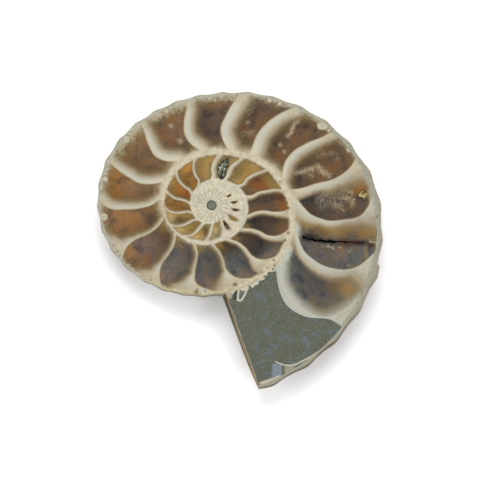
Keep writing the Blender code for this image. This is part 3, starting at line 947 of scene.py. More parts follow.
def stained(colours, x, y, blots):
    """Colours with the stains of a table laid over them."""
    for place_x, place_y, length, width, turn, tone, strength in blots:
        turn = math.radians(turn)
        along = (x - place_x) * math.cos(turn) + (y - place_y) * math.sin(turn)
        aside = (y - place_y) * math.cos(turn) - (x - place_x) * math.sin(turn)
        reach = np.hypot(along / length, aside / width)
        colours = mixed(colours, tone, strength * smooth_step(-reach, -1.55, -0.45))
    return colours


def face_marks(flat, corners):
    """What each corner of the face's triangles tells the materials.

    Every mark is an array over triangles and their three corners. It belongs to the
    triangle's own chamber or wall, so marks jump cleanly where two chambers meet.

    fill: the depth into clear calcite, how far noise may sway it, and the way from the
    septum. place: the way into the siltstone or how much a place is wall, the way from the
    rim, rays or shell bits.
    flow: the way along the coil and across it. clear and pale: the tones of the two.
    """
    middles = flat[corners].mean(axis=1)
    growth, radius = growth_of(middles)
    beyond = radius > wall_side(np.mod(growth, TURN) + TURN)
    beyond &= np.mod(growth, TURN) < 10.0
    growth = np.where(beyond, np.mod(growth, TURN) + 2 * TURN, growth)
    inner, outer = inner_limit(growth), outer_limit(growth)
    share = (radius - inner) / (outer - inner)
    chamber = np.full(len(corners), -1)
    for k in range(len(SEPTA)):
        chamber[growth >= septum_angle(k, np.clip(share, 0.0, 1.0))] = k
    region = np.where(chamber == len(SEPTA) - 1, SEDIMENT_MARK, CHAMBER_MARK)
    region[(share > 1.0) | (chamber < 0)] = WALL_MARK

    spots = flat[corners]
    x, y = spots[..., 0], spots[..., 1]
    turn = np.degrees(np.arctan2(y, x))
    reach = np.hypot(x, y)
    whorl = np.round((growth[:, None] - (BREAK_AZIMUTH - turn)) / TURN)
    angle = BREAK_AZIMUTH - turn + TURN * whorl
    below = wall_side(angle) - reach
    shape = reach.shape
    depth, fray = np.full(shape, -3.0), np.full(shape, 0.2)
    first, bits, wall = np.zeros(shape), np.zeros(shape), np.ones(shape)
    stain = np.ones(shape)
    outer_half = (share > 0.5) | (region == WALL_MARK)
    pale = wall_tones(np.where(outer_half[:, None], angle, angle - TURN))
    clear = np.ones((*shape, 3)) * colour_of("olive")

    for k, (widths, inner_halo, outer_halo, *names) in enumerate(CHAMBERS):
        mine = np.flatnonzero((region == CHAMBER_MARK) & (chamber == k))
        if not len(mine):
            continue
        points = spots[mine].reshape(-1, 2)
        start = distance_to_line(points, septum_line(k))
        end = distance_to_line(points, septum_line(k + 1))
        g, r = angle[mine].ravel(), reach[mine].ravel()
        low, high = inner_limit(g), outer_limit(g)
        v = np.clip((r - low) / (high - low), 0.0, 1.0)
        width = np.interp(v, BAND_SHARES, widths)
        second = k < SECOND_WHORL_CHAMBERS
        soft = THIRD_WHORL_SOFTNESS
        if k < THICK_BANDS_FROM:
            wider = 0.0 if second else 0.3 + 0.4 * smooth_step(v, 0.6, 0.9)
            soft = SECOND_WHORL_SOFTNESS + wider
        if k in GOLDEN_FRONTS:
            soft = soft + 0.9 * smooth_step(v, 0.3, 0.7)
        outer_soft = OUTER_SOFTNESS * (1.0 if k < 18 or k > 25 else 2.0)
        crisp = LAST_CRISP_WIDTH if k == LAST_CHAMBER else CRISP_WIDTH
        parts = [(start - width) / soft, (end - crisp) / crisp,
                 (r - low - inner_halo) / (soft if second else INNER_SOFTNESS),
                 (high - r - outer_halo) / (soft if second else outer_soft)]
        if k == LAST_SEPTUM:
            parts[0] = np.full(len(start), -3.0)
        found = least(parts)
        weights = np.exp(-np.clip(parts - found, -8.0, 8.0) / MERGING)
        sway = np.array((0.30, 0.12, 0.55, 1.0))[:, None]
        depth[mine] = found.reshape(-1, 3)
        fray[mine] = ((weights * sway).sum(0) / weights.sum(0)).reshape(-1, 3)
        first[mine] = start.reshape(-1, 3)

        milk = mixed(np.ones((len(points), 3)) * colour_of("seam"), "milk",
                     smooth_step(start, 0.0, 0.7))
        if second:
            milk = mixed(milk, "cream", np.full(len(v), 0.55))
        milk = mixed(milk, "cream", 0.8 * smooth_step(-v, -0.35, -0.08))
        milk = mixed(milk, "sand", 0.8 * smooth_step(v, 0.70, 0.93))
        if k >= LAST_CHAMBER - 1:
            milk = mixed(milk, "mist", np.full(len(v), 0.6))
        passed = start / width
        milk = mixed(milk, "dun", smooth_step(passed, 0.15, 0.75))
        milk = mixed(milk, "tan", 0.75 * smooth_step(passed, 0.60, 1.15))
        far_side = np.maximum(smooth_step(passed, 1.3, 1.8), smooth_step(-end, -2.2, -0.9))
        milk = mixed(milk, "mist" if k >= LAST_CHAMBER - 1 else "sand", far_side)
        nearest = np.minimum(r - low, high - r)
        away = smooth_step(nearest, 0.1, 0.9)
        wall[mine] = np.maximum(1.0 - away, 0.6 * smooth_step(v, 0.75, 0.95)).reshape(-1, 3)
        milk = mixed(pale[mine].reshape(-1, 3), milk, away)
        pale[mine] = milk.reshape(-1, 3, 3)

        near, middle, far = (colour_of(name) for name in names)
        tone = near + (middle - near) * smooth_step(v, 0.15, 0.5)[:, None]
        tone = mixed(tone, far, smooth_step(v, 0.55, 0.9))
        front = np.clip((start - width) / np.maximum(start - width + end, 0.3), 0.0, 1.0)
        tone = tone * (0.80 + 0.32 * smooth_step(front, 0.05, 0.75))[:, None]
        if k in BRASS_ROOTS:
            root = smooth_step(-v, -0.24, -0.04) * smooth_step(front, 0.3, 0.7)
            tone = mixed(tone, "brass", 0.85 * root)
        if k in GOLDEN_FRONTS:
            reach_in, share_from, gold = GOLDEN_FRONTS[k]
            glow = smooth_step(-(start - width) / reach_in, -1.0, -0.1)
            tone = mixed(tone, gold, glow * smooth_step(v, share_from - 0.2, share_from + 0.15))
            stain[mine] = smooth_step(v, 0.4, 0.7).reshape(-1, 3)
        clear[mine] = tone.reshape(-1, 3, 3)

    # Lumps of shell along the rim, pale at their edges and grey within.
    rim = np.flatnonzero((growth > TURN) & (below < 4.0).any(axis=1))
    for place, drop, half_width, half_height in LUMPS:
        along = np.radians(angle[rim] - place) * wall_side(angle[rim])
        away = np.hypot(along / half_width, (below[rim] - drop) / half_height) - 1.0
        away = away * min(half_width, half_height) + LUMP_INSET
        depth[rim] = least([depth[rim], away / 0.2])
        lump = mixed(np.ones((*away.shape, 3)) * colour_of("cream"), "pebble",
                     0.6 * smooth_step(-away, 0.3, 0.8))
        pale[rim] = mixed(pale[rim], "walnut", 0.25 * np.exp(-((away - 0.15) / 0.15) ** 2))
        pale[rim] = mixed(pale[rim], lump, 0.8 * smooth_step(-away, -0.05, 0.25))
    for place, drop, size, tone in PORES:
        along = np.radians(angle - place) * wall_side(angle)
        away = np.hypot(along, below - drop)
        pale = mixed(pale, tone, 0.85 * smooth_step(-away / size, -1.3, -0.7))
    pale = stained(pale, x, y, PALE_BLOTS)
    clear = stained(clear, x, y, CLEAR_BLOTS)

    # Inside the fissure the calcite is painted jet: partly the crack's dark stain, partly
    # painted shade down in the crack.
    crack = inside_outline(middles, fissure())
    clear[crack] = colour_of("jet")
    pit = inside_outline(middles, pocket(*GRAVEL_POCKET[:4]))
    clear[pit] = colour_of("silt")
    depth[crack | pit] = 3.0

    veil = np.zeros(shape)
    for line, half_width, strength in VEILS:
        away = distance_to_line(spots.reshape(-1, 2), np.array(line)).reshape(shape)
        veil = np.maximum(veil, strength * smooth_step(-away / half_width, -5.0, -0.5))

    core = np.flatnonzero((chamber < 0) | (radius < CORE_REACH))
    core_marks(core, x, y, depth, bits, pale, clear)

    mine = np.flatnonzero(region == SEDIMENT_MARK)
    points = spots[mine].reshape(-1, 2)
    nearest = np.full(len(points), 9.0)
    for line, half_width in SHELL_BITS:
        nearest = np.minimum(nearest, distance_to_line(points, np.array(line)) - half_width)
    bits[mine] = nearest.reshape(-1, 3)
    ground = np.ones((len(points), 3)) * colour_of("silt")
    cover = np.zeros(len(points))
    for outline, tone in PLATES:
        outline = np.array(outline)
        away = distance_to_line(points, np.concatenate([outline, outline[:1]]))
        inside = smooth_step(np.where(inside_outline(points, outline), away, -away), -0.2, 0.2)
        ground = mixed(ground, tone, inside)
        cover = np.maximum(cover, inside)
    clear[mine] = ground.reshape(-1, 3, 3)
    veil[mine] = cover.reshape(-1, 3)
    sediment = (region == SEDIMENT_MARK)[:, None]
    fringe = np.where(sediment, reach - inner_limit(angle), wall)
    rim_way = np.where(angle >= TURN - 20.0, below, 9.0)

    return {
        "region": region,
        "fill": np.stack([depth, fray, first], axis=-1),
        "place": np.stack([fringe, rim_way, bits], axis=-1),
        "flow": np.stack([np.radians(angle) * wall_side(angle), below, 0.0 * below], axis=-1),
        "clear": np.concatenate([clear, veil[..., None]], axis=-1),
        "pale": np.concatenate([pale, stain[..., None]], axis=-1),
    }


def core_marks(mine, x, y, depth, bits, pale, clear):
    """The marks of the innermost whorls: fine rays, small closed chambers and the middle."""
    x, y = x[mine], y[mine]
    reach, turn = np.hypot(x, y), np.arctan2(y, x)
    rays = 0.5 + 0.5 * np.cos(22.0 * turn + 1.1 * reach)
    bits[mine] = rays * smooth_step(-reach, -5.6, -4.6) * (reach < 9.0)
    inside = np.full(reach.shape, -3.0)
    for growth, radius, length, width in CORE_CELLS:
        outward, forward = directions(growth)
        along = (x * outward[0] + y * outward[1] - radius) / (length / 2.0)
        aside = (x * forward[0] + y * forward[1]) / (width / 2.0) - 0.5 * (1.0 - along**2)
        inside = np.maximum(inside, 3.5 * (0.85 - np.hypot(along, aside)))
    depth[mine] = inside
    clear[mine] = colour_of("olive")
    disc = (reach < CORE_RADIUS + 0.01).all(axis=1)
    silt = mixed(np.ones((*reach.shape, 3)) * colour_of("silt"), "dark_silt",
                 smooth_step(reach, 0.85, 1.35))
    pale[mine] = np.where(disc[:, None, None], silt, pale[mine])
    bits[mine] = np.where(disc[:, None], 0.0, bits[mine])


def build_stone():
    """The whole stone in the cut frame, with its marks."""
    stone = Stone()
    grid, unrolled, columns, per_turn, last_whorl = underside_grid(stone)
    add_coil(stone, grid, unrolled, columns, last_whorl)
    add_umbilicus_floor(stone, grid, unrolled, per_turn)
    tops = add_break(stone, grid, columns, last_whorl)
    rim = [grid[column, RIM_ROW] for column in range(last_whorl + 1, columns)]
    low_loop = rim + tops
    for k in low_loop:
        x, y, _ = stone.points[k]
        stone.points[k] = (x, y, -CHAMFER_DROP)
    low = np.array([stone.points[k][:2] for k in low_loop])
    high = moved_inward(low, CHAMFER_INSET)
    high_loop = [stone.point((x, y, 0.0)) for x, y in high]
    for k in range(len(low_loop)):
        after = (k + 1) % len(low_loop)
        corners = (low_loop[k], low_loop[after], high_loop[after], high_loop[k])
        slot = CALCITE if k < len(rim) or k == len(low_loop) - 1 else SEDIMENT
        stone.face(corners, slot, [face_map(*stone.points[c][:2]) for c in corners])
    skin_faces = len(stone.faces)
    marks = add_face(stone, high_loop)
    return stone, marks, skin_faces


def laid_down(points):
    """Points of the cut frame, in millimetres, laid on the table, in metres."""
    face = next(m for m in frame["record"]["mounts"] if m["name"] == "polished_face")
    turn = Vector((0.0, 0.0, 1.0)).rotation_difference(Vector(face["axis"])).to_matrix()
    return np.array(points) * MM @ np.array(turn).T + np.array(face["pos_m"])


# ------------------------------------------------------------------------------- materials


def add(tree, kind, inputs=None, stops=None, **settings):
    """Adds a shader node with its settings. An input is a value, a node or a socket."""
    node = tree.nodes.new("ShaderNode" + kind)
    for name, value in settings.items():
        setattr(node, name, value)
    for key, value in (inputs or {}).items():
        socket = node.inputs[key]
        if isinstance(value, bpy.types.Node):
            value = value.outputs[0]
        if isinstance(value, bpy.types.NodeSocket):
            tree.links.new(value, socket)
        else:
            socket.default_value = value
    if stops:
        ramp = node.color_ramp
        while len(ramp.elements) < len(stops):
            ramp.elements.new(0.5)
        for element, (position, colour) in zip(ramp.elements, stops):
            element.position = position
            element.color = (*linear(colour), 1.0)
    return node


def new_material(name):
    """A material with a Principled shader. Returns it, its tree and the shader."""
    material = bpy.data.materials.new(name)
    material.use_nodes = True
    return material, material.node_tree, material.node_tree.nodes["Principled BSDF"]


def millimetres(tree):
    """The piece's own coordinates in millimetres."""
    coordinates = add(tree, "TexCoord")
    return add(tree, "VectorMath", {0: coordinates.outputs["Object"], "Scale": 1000.0},
               operation="SCALE")


def blend(tree, share, first, second):
    """A colour between two, by a share. A colour is a hex string, a node or a socket."""
    first, second = ((*linear(c), 1.0) if isinstance(c, str) else c for c in (first, second))
    mixed = add(tree, "Mix", {0: share, 6: first, 7: second}, data_type="RGBA")
    return mixed.outputs[2]


def under_lamps(tree, colour):
    """A tone as it has to be painted to look as named under the studio's bright lamps."""
    painted = add(tree, "VectorMath", {0: colour, 1: (LAMP_SHADE,) * 3, 2: (-SKY_HAZE,) * 3},
                  operation="MULTIPLY_ADD")
    return add(tree, "VectorMath", {0: painted, 1: (0.002,) * 3}, operation="MAXIMUM")


def polished_calcite(settings):
    """Sawn and polished calcite: clear and brown inside, milky along the septa, cream in
    the shell's walls. The polish gives the eye a wet, even shine."""
    material, tree, shader = new_material("polished_calcite")
    place = millimetres(tree)

    def mark(name):
        return add(tree, "Attribute", attribute_name=name).outputs

    fill = add(tree, "SeparateXYZ", {0: mark("fill")["Vector"]}).outputs
    spot = add(tree, "SeparateXYZ", {0: mark("place")["Vector"]}).outputs
    flow = mark("flow")["Vector"]
    clear, veil = mark("clear")["Color"], mark("clear")["Alpha"]
    pale, stain = mark("pale")["Color"], mark("pale")["Alpha"]
    frill = add(tree, "TexNoise", {"Vector": place, "Scale": 0.85, "Detail": 4.0,
                                   "Roughness": 0.6, "Distortion": 0.5})
    fine = add(tree, "TexNoise", {"Vector": place, "Scale": 2.8, "Detail": 5.0})

    # How deep a place lies in clear calcite: 1 and more is clear, -1 and less is pale.
    sway = add(tree, "MapRange", {0: frill, 1: 0.28, 2: 0.72, 3: -1.0, 4: 1.0})
    depth = add(tree, "Math", {0: sway, 1: fill[1], 2: fill[0]}, operation="MULTIPLY_ADD")

    # Milky calcite grows away from each septum in fine layers.
    layers = add(tree, "TexNoise", {"W": fill[2], "Scale": 4.5, "Detail": 2.0},
                 noise_dimensions="1D")
    layered = add(tree, "MapRange", {0: layers, 1: 0.3, 2: 0.7, 3: 0.88, 4: 1.06})
    pale = add(tree, "VectorMath", {0: pale, 1: layered}, operation="MULTIPLY")
    # The walls are drawn out in streaks along the coil.
    drawn = add(tree, "Mapping", {0: flow, "Scale": (0.30, 1.9, 1.0)})
    streak = add(tree, "TexNoise", {"Vector": drawn, "Scale": 1.0, "Detail": 3.0})
    streaked = add(tree, "MapRange", {0: streak, 1: 0.32, 2: 0.68, 3: 0.87, 4: 1.11})
    lumps = add(tree, "TexVoronoi", {"Vector": place, "Scale": 0.95, "Smoothness": 0.5},
                feature="SMOOTH_F1")
    lumpy = add(tree, "MapRange", {0: lumps, 1: 0.25, 2: 0.75, 3: 1.07, 4: 0.88})
    walled = add(tree, "VectorMath", {0: pale, 1: streaked}, operation="MULTIPLY")
    walled = add(tree, "VectorMath", {0: walled, 1: lumpy}, operation="MULTIPLY")
    worn = add(tree, "MapRange", {0: frill, 1: 0.58, 2: 0.72, 3: 0.0, 4: 0.45})
    walled = blend(tree, worn, walled, "#a08f70")
    pale = blend(tree, spot[0], pale, walled)
    grainy = add(tree, "MapRange", {0: fine, 1: 0.3, 2: 0.7, 3: 0.95, 4: 1.05})
    pale = add(tree, "VectorMath", {0: pale, 1: grainy}, operation="MULTIPLY")
    ray = add(tree, "MapRange", {0: spot[2], 1: 0.45, 2: 0.95, 3: 0.0, 4: 0.55})
    pale = blend(tree, ray, pale, "#a59f86")

    # The clear calcite: its tone, clouded, with rusty and smoky patches.
    cloud = add(tree, "TexNoise", {"Vector": place, "Scale": 0.28, "Detail": 3.0,
                                   "Roughness": 0.55, "Distortion": 0.5})
    rusty = add(tree, "MapRange", {0: cloud, 1: 0.47, 2: 0.68, 3: 0.0, 4: 1.0})
    smoky = add(tree, "MapRange", {0: cloud, 1: 0.50, 2: 0.28, 3: 0.0, 4: 0.9})
    warmed = add(tree, "VectorMath", {0: clear, 1: (1.21, 0.97, 0.68)}, operation="MULTIPLY")
    clear = blend(tree, rusty, clear, warmed.outputs[0])
    dulled = add(tree, "VectorMath", {0: clear, 1: (0.42, 0.46, 0.60)}, operation="MULTIPLY")
    clear = blend(tree, smoky, clear, dulled.outputs[0])
    mottle = add(tree, "MapRange", {0: fine, 1: 0.3, 2: 0.7, 3: 0.80, 4: 1.20})
    clear = add(tree, "VectorMath", {0: clear, 1: mottle}, operation="MULTIPLY")
    # Veils of small crystals hang in it.
    net = add(tree, "TexNoise", {"Vector": place, "Scale": 1.15, "Detail": 4.0,
                                 "Roughness": 0.6, "Distortion": 1.0})
    net = add(tree, "Math", {0: net, 1: 0.5}, operation="SUBTRACT")
    net = add(tree, "Math", {0: net}, operation="ABSOLUTE")
    thread = add(tree, "MapRange", {0: net, 1: 0.06, 2: 0.012, 3: 0.0, 4: 1.0})
    thread = add(tree, "Math", {0: thread, 1: veil}, operation="MULTIPLY")
    solid = add(tree, "MapRange", {0: veil, 1: 0.55, 2: 1.0, 3: 0.0, 4: 0.75})
    vein = add(tree, "Math", {0: thread, 1: solid}, operation="MAXIMUM")
    clear = blend(tree, vein, clear, "#cbbd98")

    deep = add(tree, "MapRange", {0: depth, 1: -1.0, 2: 1.0, 3: 0.0, 4: 1.0},
               interpolation_type="SMOOTHSTEP")
    colour = blend(tree, deep, pale, clear)
    edge = add(tree, "Math", {0: depth}, operation="ABSOLUTE")
    edge = add(tree, "MapRange", {0: edge, 1: 0.3, 2: 2.2, 3: 0.5, 4: 0.0})
    edge = add(tree, "Math", {0: edge, 1: stain}, operation="MULTIPLY")
    colour = blend(tree, edge, colour, "#796845")
    rim = add(tree, "MapRange", {0: spot[1], 1: 0.18, 2: 0.42, 3: 0.55, 4: 0.0})
    colour = blend(tree, rim, colour, "#a29a7e")
    tree.links.new(under_lamps(tree, colour).outputs[0], shader.inputs["Base Color"])
    polish = add(tree, "MapRange", {0: depth, 1: -1.0, 2: 1.0,
                                    3: settings.wall_roughness, 4: settings.polish})
    tree.links.new(polish.outputs[0], shader.inputs["Roughness"])
    shader.inputs["IOR"].default_value = 1.55
    shader.inputs["Specular IOR Level"].default_value = 0.38
    return material


def polished_siltstone(settings):
    """Grey-green siltstone, sawn and polished: sandy grains with bluish and olive spots."""
    material, tree, shader = new_material("polished_siltstone")
    place = millimetres(tree)
    spot = add(tree, "SeparateXYZ", {0: add(
        tree, "Attribute", attribute_name="place").outputs["Vector"]}).outputs
    plates = add(tree, "Attribute", attribute_name="clear").outputs
    grain = add(tree, "TexNoise", {"Vector": place, "Scale": 3.6, "Detail": 6.0,
                                   "Roughness": 0.7})
    base = (*settings.sediment[:], 1.0)
    sand = add(tree, "ValToRGB", {0: grain}, stops=(
        (0.28, "#3a3f35"), (0.44, "#585c4e"), (0.55, "#6b6f5f"), (0.72, "#9a9c86")))
    colour = blend(tree, 0.22, sand, base)
    cloud = add(tree, "TexNoise", {"Vector": place, "Scale": 0.42, "Detail": 7.0,
                                   "Roughness": 0.72, "Distortion": 0.3})
    blue = add(tree, "MapRange", {0: cloud, 1: 0.53, 2: 0.66, 3: 0.0, 4: 0.8})
    colour = blend(tree, blue, colour, "#6d7b87")
    olive = add(tree, "MapRange", {0: cloud, 1: 0.44, 2: 0.30, 3: 0.0, 4: 0.6})
    colour = blend(tree, olive, colour, "#5c5a3c")
    specks = add(tree, "TexVoronoi", {"Vector": place, "Scale": 1.3})
    pale = add(tree, "MapRange", {0: specks, 1: 0.16, 2: 0.08, 3: 0.0, 4: 0.7})
    hue = add(tree, "SeparateXYZ", {0: specks.outputs["Color"]}).outputs
    chosen = add(tree, "Math", {0: hue[0], 1: 0.80}, operation="GREATER_THAN")
    pale = add(tree, "Math", {0: pale, 1: chosen}, operation="MULTIPLY")
    colour = blend(tree, pale, colour, "#b3b097")
    rust = add(tree, "MapRange", {0: specks, 1: 0.24, 2: 0.12, 3: 0.0, 4: 0.6})
    chosen = add(tree, "Math", {0: hue[1], 1: 0.88}, operation="GREATER_THAN")
    rust = add(tree, "Math", {0: rust, 1: chosen}, operation="MULTIPLY")
    colour = blend(tree, rust, colour, "#7a6536")
    laid = add(tree, "MapRange", {0: grain, 1: 0.3, 2: 0.7, 3: 0.86, 4: 1.10})
    laid = add(tree, "VectorMath", {0: plates["Color"], 1: laid}, operation="MULTIPLY")
    cover = add(tree, "Math", {0: plates["Alpha"], 1: 0.85}, operation="MULTIPLY")
    colour = blend(tree, cover, colour, laid)
    lumps = add(tree, "TexNoise", {"Vector": place, "Scale": 0.9, "Detail": 2.0})
    fringe = add(tree, "MapRange", {0: lumps, 1: 0.40, 2: 0.70, 3: 0.0, 4: 1.5})
    fringe = add(tree, "Math", {0: fringe, 1: spot[0]}, operation="SUBTRACT")
    fringe = add(tree, "MapRange", {0: fringe, 1: 0.0, 2: 0.15, 3: 0.0, 4: 1.0})
    bits = add(tree, "MapRange", {0: spot[2], 1: 0.06, 2: -0.06, 3: 0.0, 4: 1.0})
    shell = add(tree, "Math", {0: fringe, 1: bits}, operation="MAXIMUM")
    colour = blend(tree, shell, colour, "#cfcab6")
    tree.links.new(under_lamps(tree, colour).outputs[0], shader.inputs["Base Color"])
    shader.inputs["Roughness"].default_value = settings.polish + 0.06
    shader.inputs["IOR"].default_value = 1.52
    return material


def weathered_shell(settings):
    """The shell's outside as the ground left it: dull tan, stained and finely pitted, paler
    grey high on the flank, where painted shade makes it darker olive towards -Y.
    """
    material, tree, shader = new_material("weathered_shell")
    place = millimetres(tree)
    stain = add(tree, "TexNoise", {"Vector": place, "Scale": 0.13, "Detail": 6.0,
                                   "Roughness": 0.6, "Distortion": 0.5})
    colour = add(tree, "ValToRGB", {0: stain}, stops=(
        (0.30, "#5f4f3a"), (0.44, "#847052"), (0.56, "#9d8a6a"), (0.70, "#b8aa8c")))
    grit = add(tree, "TexNoise", {"Vector": place, "Scale": 2.2, "Detail": 5.0})
    shade = add(tree, "MapRange", {0: grit, 1: 0.3, 2: 0.7, 3: 0.82, 4: 1.14})
    colour = add(tree, "VectorMath", {0: colour, 1: shade}, operation="MULTIPLY")
    tint = blend(tree, 0.25, colour, (*settings.shell[:], 1.0))
    height = add(tree, "SeparateXYZ", {0: place}).outputs[2]
    top = add(tree, "MapRange", {0: height, 1: 6.0, 2: 11.0, 3: 0.0, 4: 0.8})
    worn = add(tree, "ValToRGB", {0: grit}, stops=((0.35, "#8f8b78"), (0.65, "#bcb7a2")))
    worn = worn.outputs[0]
    # Painted shade: high on the flank the grey is painted darker olive towards -Y.
    south = add(tree, "SeparateXYZ", {0: place}).outputs[1]
    painted_shade = add(tree, "MapRange", {0: south, 1: -20.0, 2: -27.0, 3: 0.0, 4: 0.85})
    worn = blend(tree, painted_shade, worn, "#5f5d4b")
    tint = blend(tree, top, tint, worn)
    tree.links.new(under_lamps(tree, tint).outputs[0], shader.inputs["Base Color"])
    shader.inputs["Roughness"].default_value = 0.62
    bump = add(tree, "Bump", {"Strength": 0.5, "Distance": 0.00012, "Height": grit})
    tree.links.new(bump.outputs[0], shader.inputs["Normal"])
    return material


def broken_siltstone(settings):
    """The broken end: a dull rough fracture, stained tan near the face."""
    material, tree, shader = new_material("broken_siltstone")
    place = millimetres(tree)
    height = add(tree, "SeparateXYZ", {0: place}).outputs[2]
    grain = add(tree, "TexNoise", {"Vector": place, "Scale": 1.6, "Detail": 6.0,
                                   "Roughness": 0.7})
    dark = add(tree, "ValToRGB", {0: grain}, stops=(
        (0.30, "#3d382b"), (0.50, "#5c5845"), (0.70, "#7a7358")))
    rust = add(tree, "ValToRGB", {0: grain}, stops=(
        (0.30, "#6d5233"), (0.50, "#97794e"), (0.70, "#b59b6c")))
    stained = add(tree, "MapRange", {0: height, 1: 4.5, 2: 8.0, 3: 0.15, 4: 1.0})
    colour = blend(tree, stained, dark, rust)
    tree.links.new(under_lamps(tree, colour).outputs[0], shader.inputs["Base Color"])
    shader.inputs["Roughness"].default_value = 0.75
    bump = add(tree, "Bump", {"Strength": 0.6, "Distance": 0.00025, "Height": grain})
    tree.links.new(bump.outputs[0], shader.inputs["Normal"])
    return material


def pocket_grit(settings):
    """Loose grit: rounded grains of grey-green silt and a few of quartz."""
    material, tree, shader = new_material("pocket_grit")
    place = millimetres(tree)
    kinds = add(tree, "TexVoronoi", {"Vector": place, "Scale": 1.4})
    hue = add(tree, "SeparateXYZ", {0: kinds.outputs["Color"]}).outputs[0]
    colour = add(tree, "ValToRGB", {0: hue}, stops=(
        (0.1, "#5e6152"), (0.4, "#7c7e6a"), (0.7, "#9c987e"), (0.95, "#c8c2ac")))
    tree.links.new(under_lamps(tree, colour).outputs[0], shader.inputs["Base Color"])
    shader.inputs["Roughness"].default_value = 0.45
    return material


def yellow_calcite(settings):
    """Small yellow calcite crystals: glassy rhombs with a waxy shine."""
    material, tree, shader = new_material("yellow_calcite")
    place = millimetres(tree)
    cloud = add(tree, "TexNoise", {"Vector": place, "Scale": 1.4, "Detail": 3.0})
    colour = add(tree, "ValToRGB", {0: cloud}, stops=(
        (0.30, "#8d7636"), (0.48, "#b9a35a"), (0.66, "#dccf9a")))
    tree.links.new(under_lamps(tree, colour).outputs[0], shader.inputs["Base Color"])
    shader.inputs["Roughness"].default_value = 0.22
    shader.inputs["IOR"].default_value = 1.55
    return material


# ---------------------------------------------------------------------------------- pieces


def deselect_all():
    """Leaves nothing selected, in object mode."""
    if bpy.context.object and bpy.context.object.mode != "OBJECT":
        bpy.ops.object.mode_set(mode="OBJECT")
    bpy.ops.object.select_all(action="DESELECT")


def make_active(thing):
    """Selects one object alone."""
    deselect_all()
    thing.select_set(True)
    bpy.context.view_layer.objects.active = thing


def corner_mark(mesh, name, values):
    """Writes an array over the mesh's corners as a vector or colour attribute."""
    wide = values.shape[-1] == 4
    kind, field = ("FLOAT_COLOR", "color") if wide else ("FLOAT_VECTOR", "vector")
    attribute = mesh.attributes.new(name, kind, "CORNER")
    attribute.data.foreach_set(field, values.astype(np.float32).ravel())


def stone_object(settings):
    """The stone as one closed object on the table."""
    stone, marks, skin_faces = build_stone()
    mesh = bpy.data.meshes.new("ammonite_stone")
    mesh.from_pydata(laid_down(stone.points).tolist(), [], stone.faces)
    mesh.polygons.foreach_set("material_index", stone.slots)
    skin = sum(len(face) for face in stone.faces[:skin_faces])
    corners = sum(len(face) for face in stone.faces)
    for name in ("fill", "place", "flow", "clear", "pale"):
        found = marks[name].reshape(-1, marks[name].shape[-1])
        values = np.zeros((corners, found.shape[-1]))
        values[skin:] = found
        if name == "fill":
            values[:skin, 0] = -3.0
        if name == "pale":
            values[:skin, :3] = colour_of("pebble")
        corner_mark(mesh, name, values)
    layer = mesh.uv_layers.new(name="OFBake")
    layer.data.foreach_set("uv", [v for face in stone.maps for place in face for v in place])
    for maker in (polished_calcite, polished_siltstone, weathered_shell, broken_siltstone):
        mesh.materials.append(maker(settings))
    piece = bpy.data.objects.new("ammonite_stone", mesh)
    bpy.context.scene.collection.objects.link(piece)
    make_active(piece)
    bpy.ops.object.mode_set(mode="EDIT")
    bpy.ops.mesh.select_all(action="SELECT")
    bpy.ops.mesh.normals_make_consistent(inside=False)
    bpy.ops.object.mode_set(mode="OBJECT")
    bpy.ops.object.shade_smooth_by_angle(angle=math.radians(32.0))
    return piece


class AmmoniteSettings(bpy.types.PropertyGroup):
    """Sizes and colours of the stone and its stage."""

    polish: FloatProperty(
        name="Polish", description="Roughness of the clear polished calcite",
        default=0.16, min=0.0, max=1.0, subtype="FACTOR")
    wall_roughness: FloatProperty(
        name="Wall roughness", description="Roughness of the cream walls in the face",
        default=0.30, min=0.0, max=1.0, subtype="FACTOR")
    sediment: FloatVectorProperty(
        name="Sediment", description="Overall colour of the siltstone by the broken end",
        default=linear("#666a5c"), size=3, min=0.0, max=1.0, subtype="COLOR")
    shell: FloatVectorProperty(
        name="Shell", description="Overall tint of the weathered outside",
        default=linear("#8c7a5e"), size=3, min=0.0, max=1.0, subtype="COLOR")
    grain_size: FloatProperty(
        name="Grain size", description="Middle diameter of the grit in the open chamber",
        default=0.00055, min=0.0001, max=0.002, unit="LENGTH", precision=5)
    grain_count: IntProperty(
        name="Grains", description="Number of grains in the open chamber",
        default=90, min=1, max=200)
    crystal_size: FloatProperty(
        name="Crystal size", description="Edge of the largest yellow crystal",
        default=0.00085, min=0.0001, max=0.002, unit="LENGTH", precision=5)
    crystal_count: IntProperty(
        name="Crystals", description="Number of yellow crystals near the rim",
        default=40, min=1, max=100)
    camera_height: FloatProperty(
        name="Camera height", description="Height of the camera over the polished face",
        default=0.60, min=0.1, unit="LENGTH")
    view_width: FloatProperty(
        name="View width", description="Width of the view at the polished face",
        default=0.1344, min=0.05, unit="LENGTH", precision=4)
    sky: FloatProperty(
        name="Sky", description="Strength of the even light from all round",
        default=0.52, min=0.0)
    lamp: FloatProperty(
        name="Lamp", description="Power of the far soft lamp; the others follow it",
        default=9.8, min=0.0, unit="POWER")


# Soft lamps stand round the table, out of the way of the polished face's mirror image of
# the camera, each with its share of the power.
LAMPS = (
    ("far_lamp", (0.0, 0.72, 0.90), 1.0),
    ("left_lamp", (-0.80, -0.10, 0.80), 0.45),
    ("right_lamp", (0.80, -0.10, 0.80), 0.45),
)


def settings_of(context):
    """The add-on's settings in this scene."""
    return context.scene.ammonite


class AMMONITE_OT_stone(bpy.types.Operator):
    """Models the sawn stone: its polished face, ribbed underside and broken end"""

    bl_idname = "ammonite.stone"
    bl_label = "Ammonite stone"

    def execute(self, context):
        piece = stone_object(settings_of(context))
        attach(piece, "root")
        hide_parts("ammonite_half")
        return {"FINISHED"}


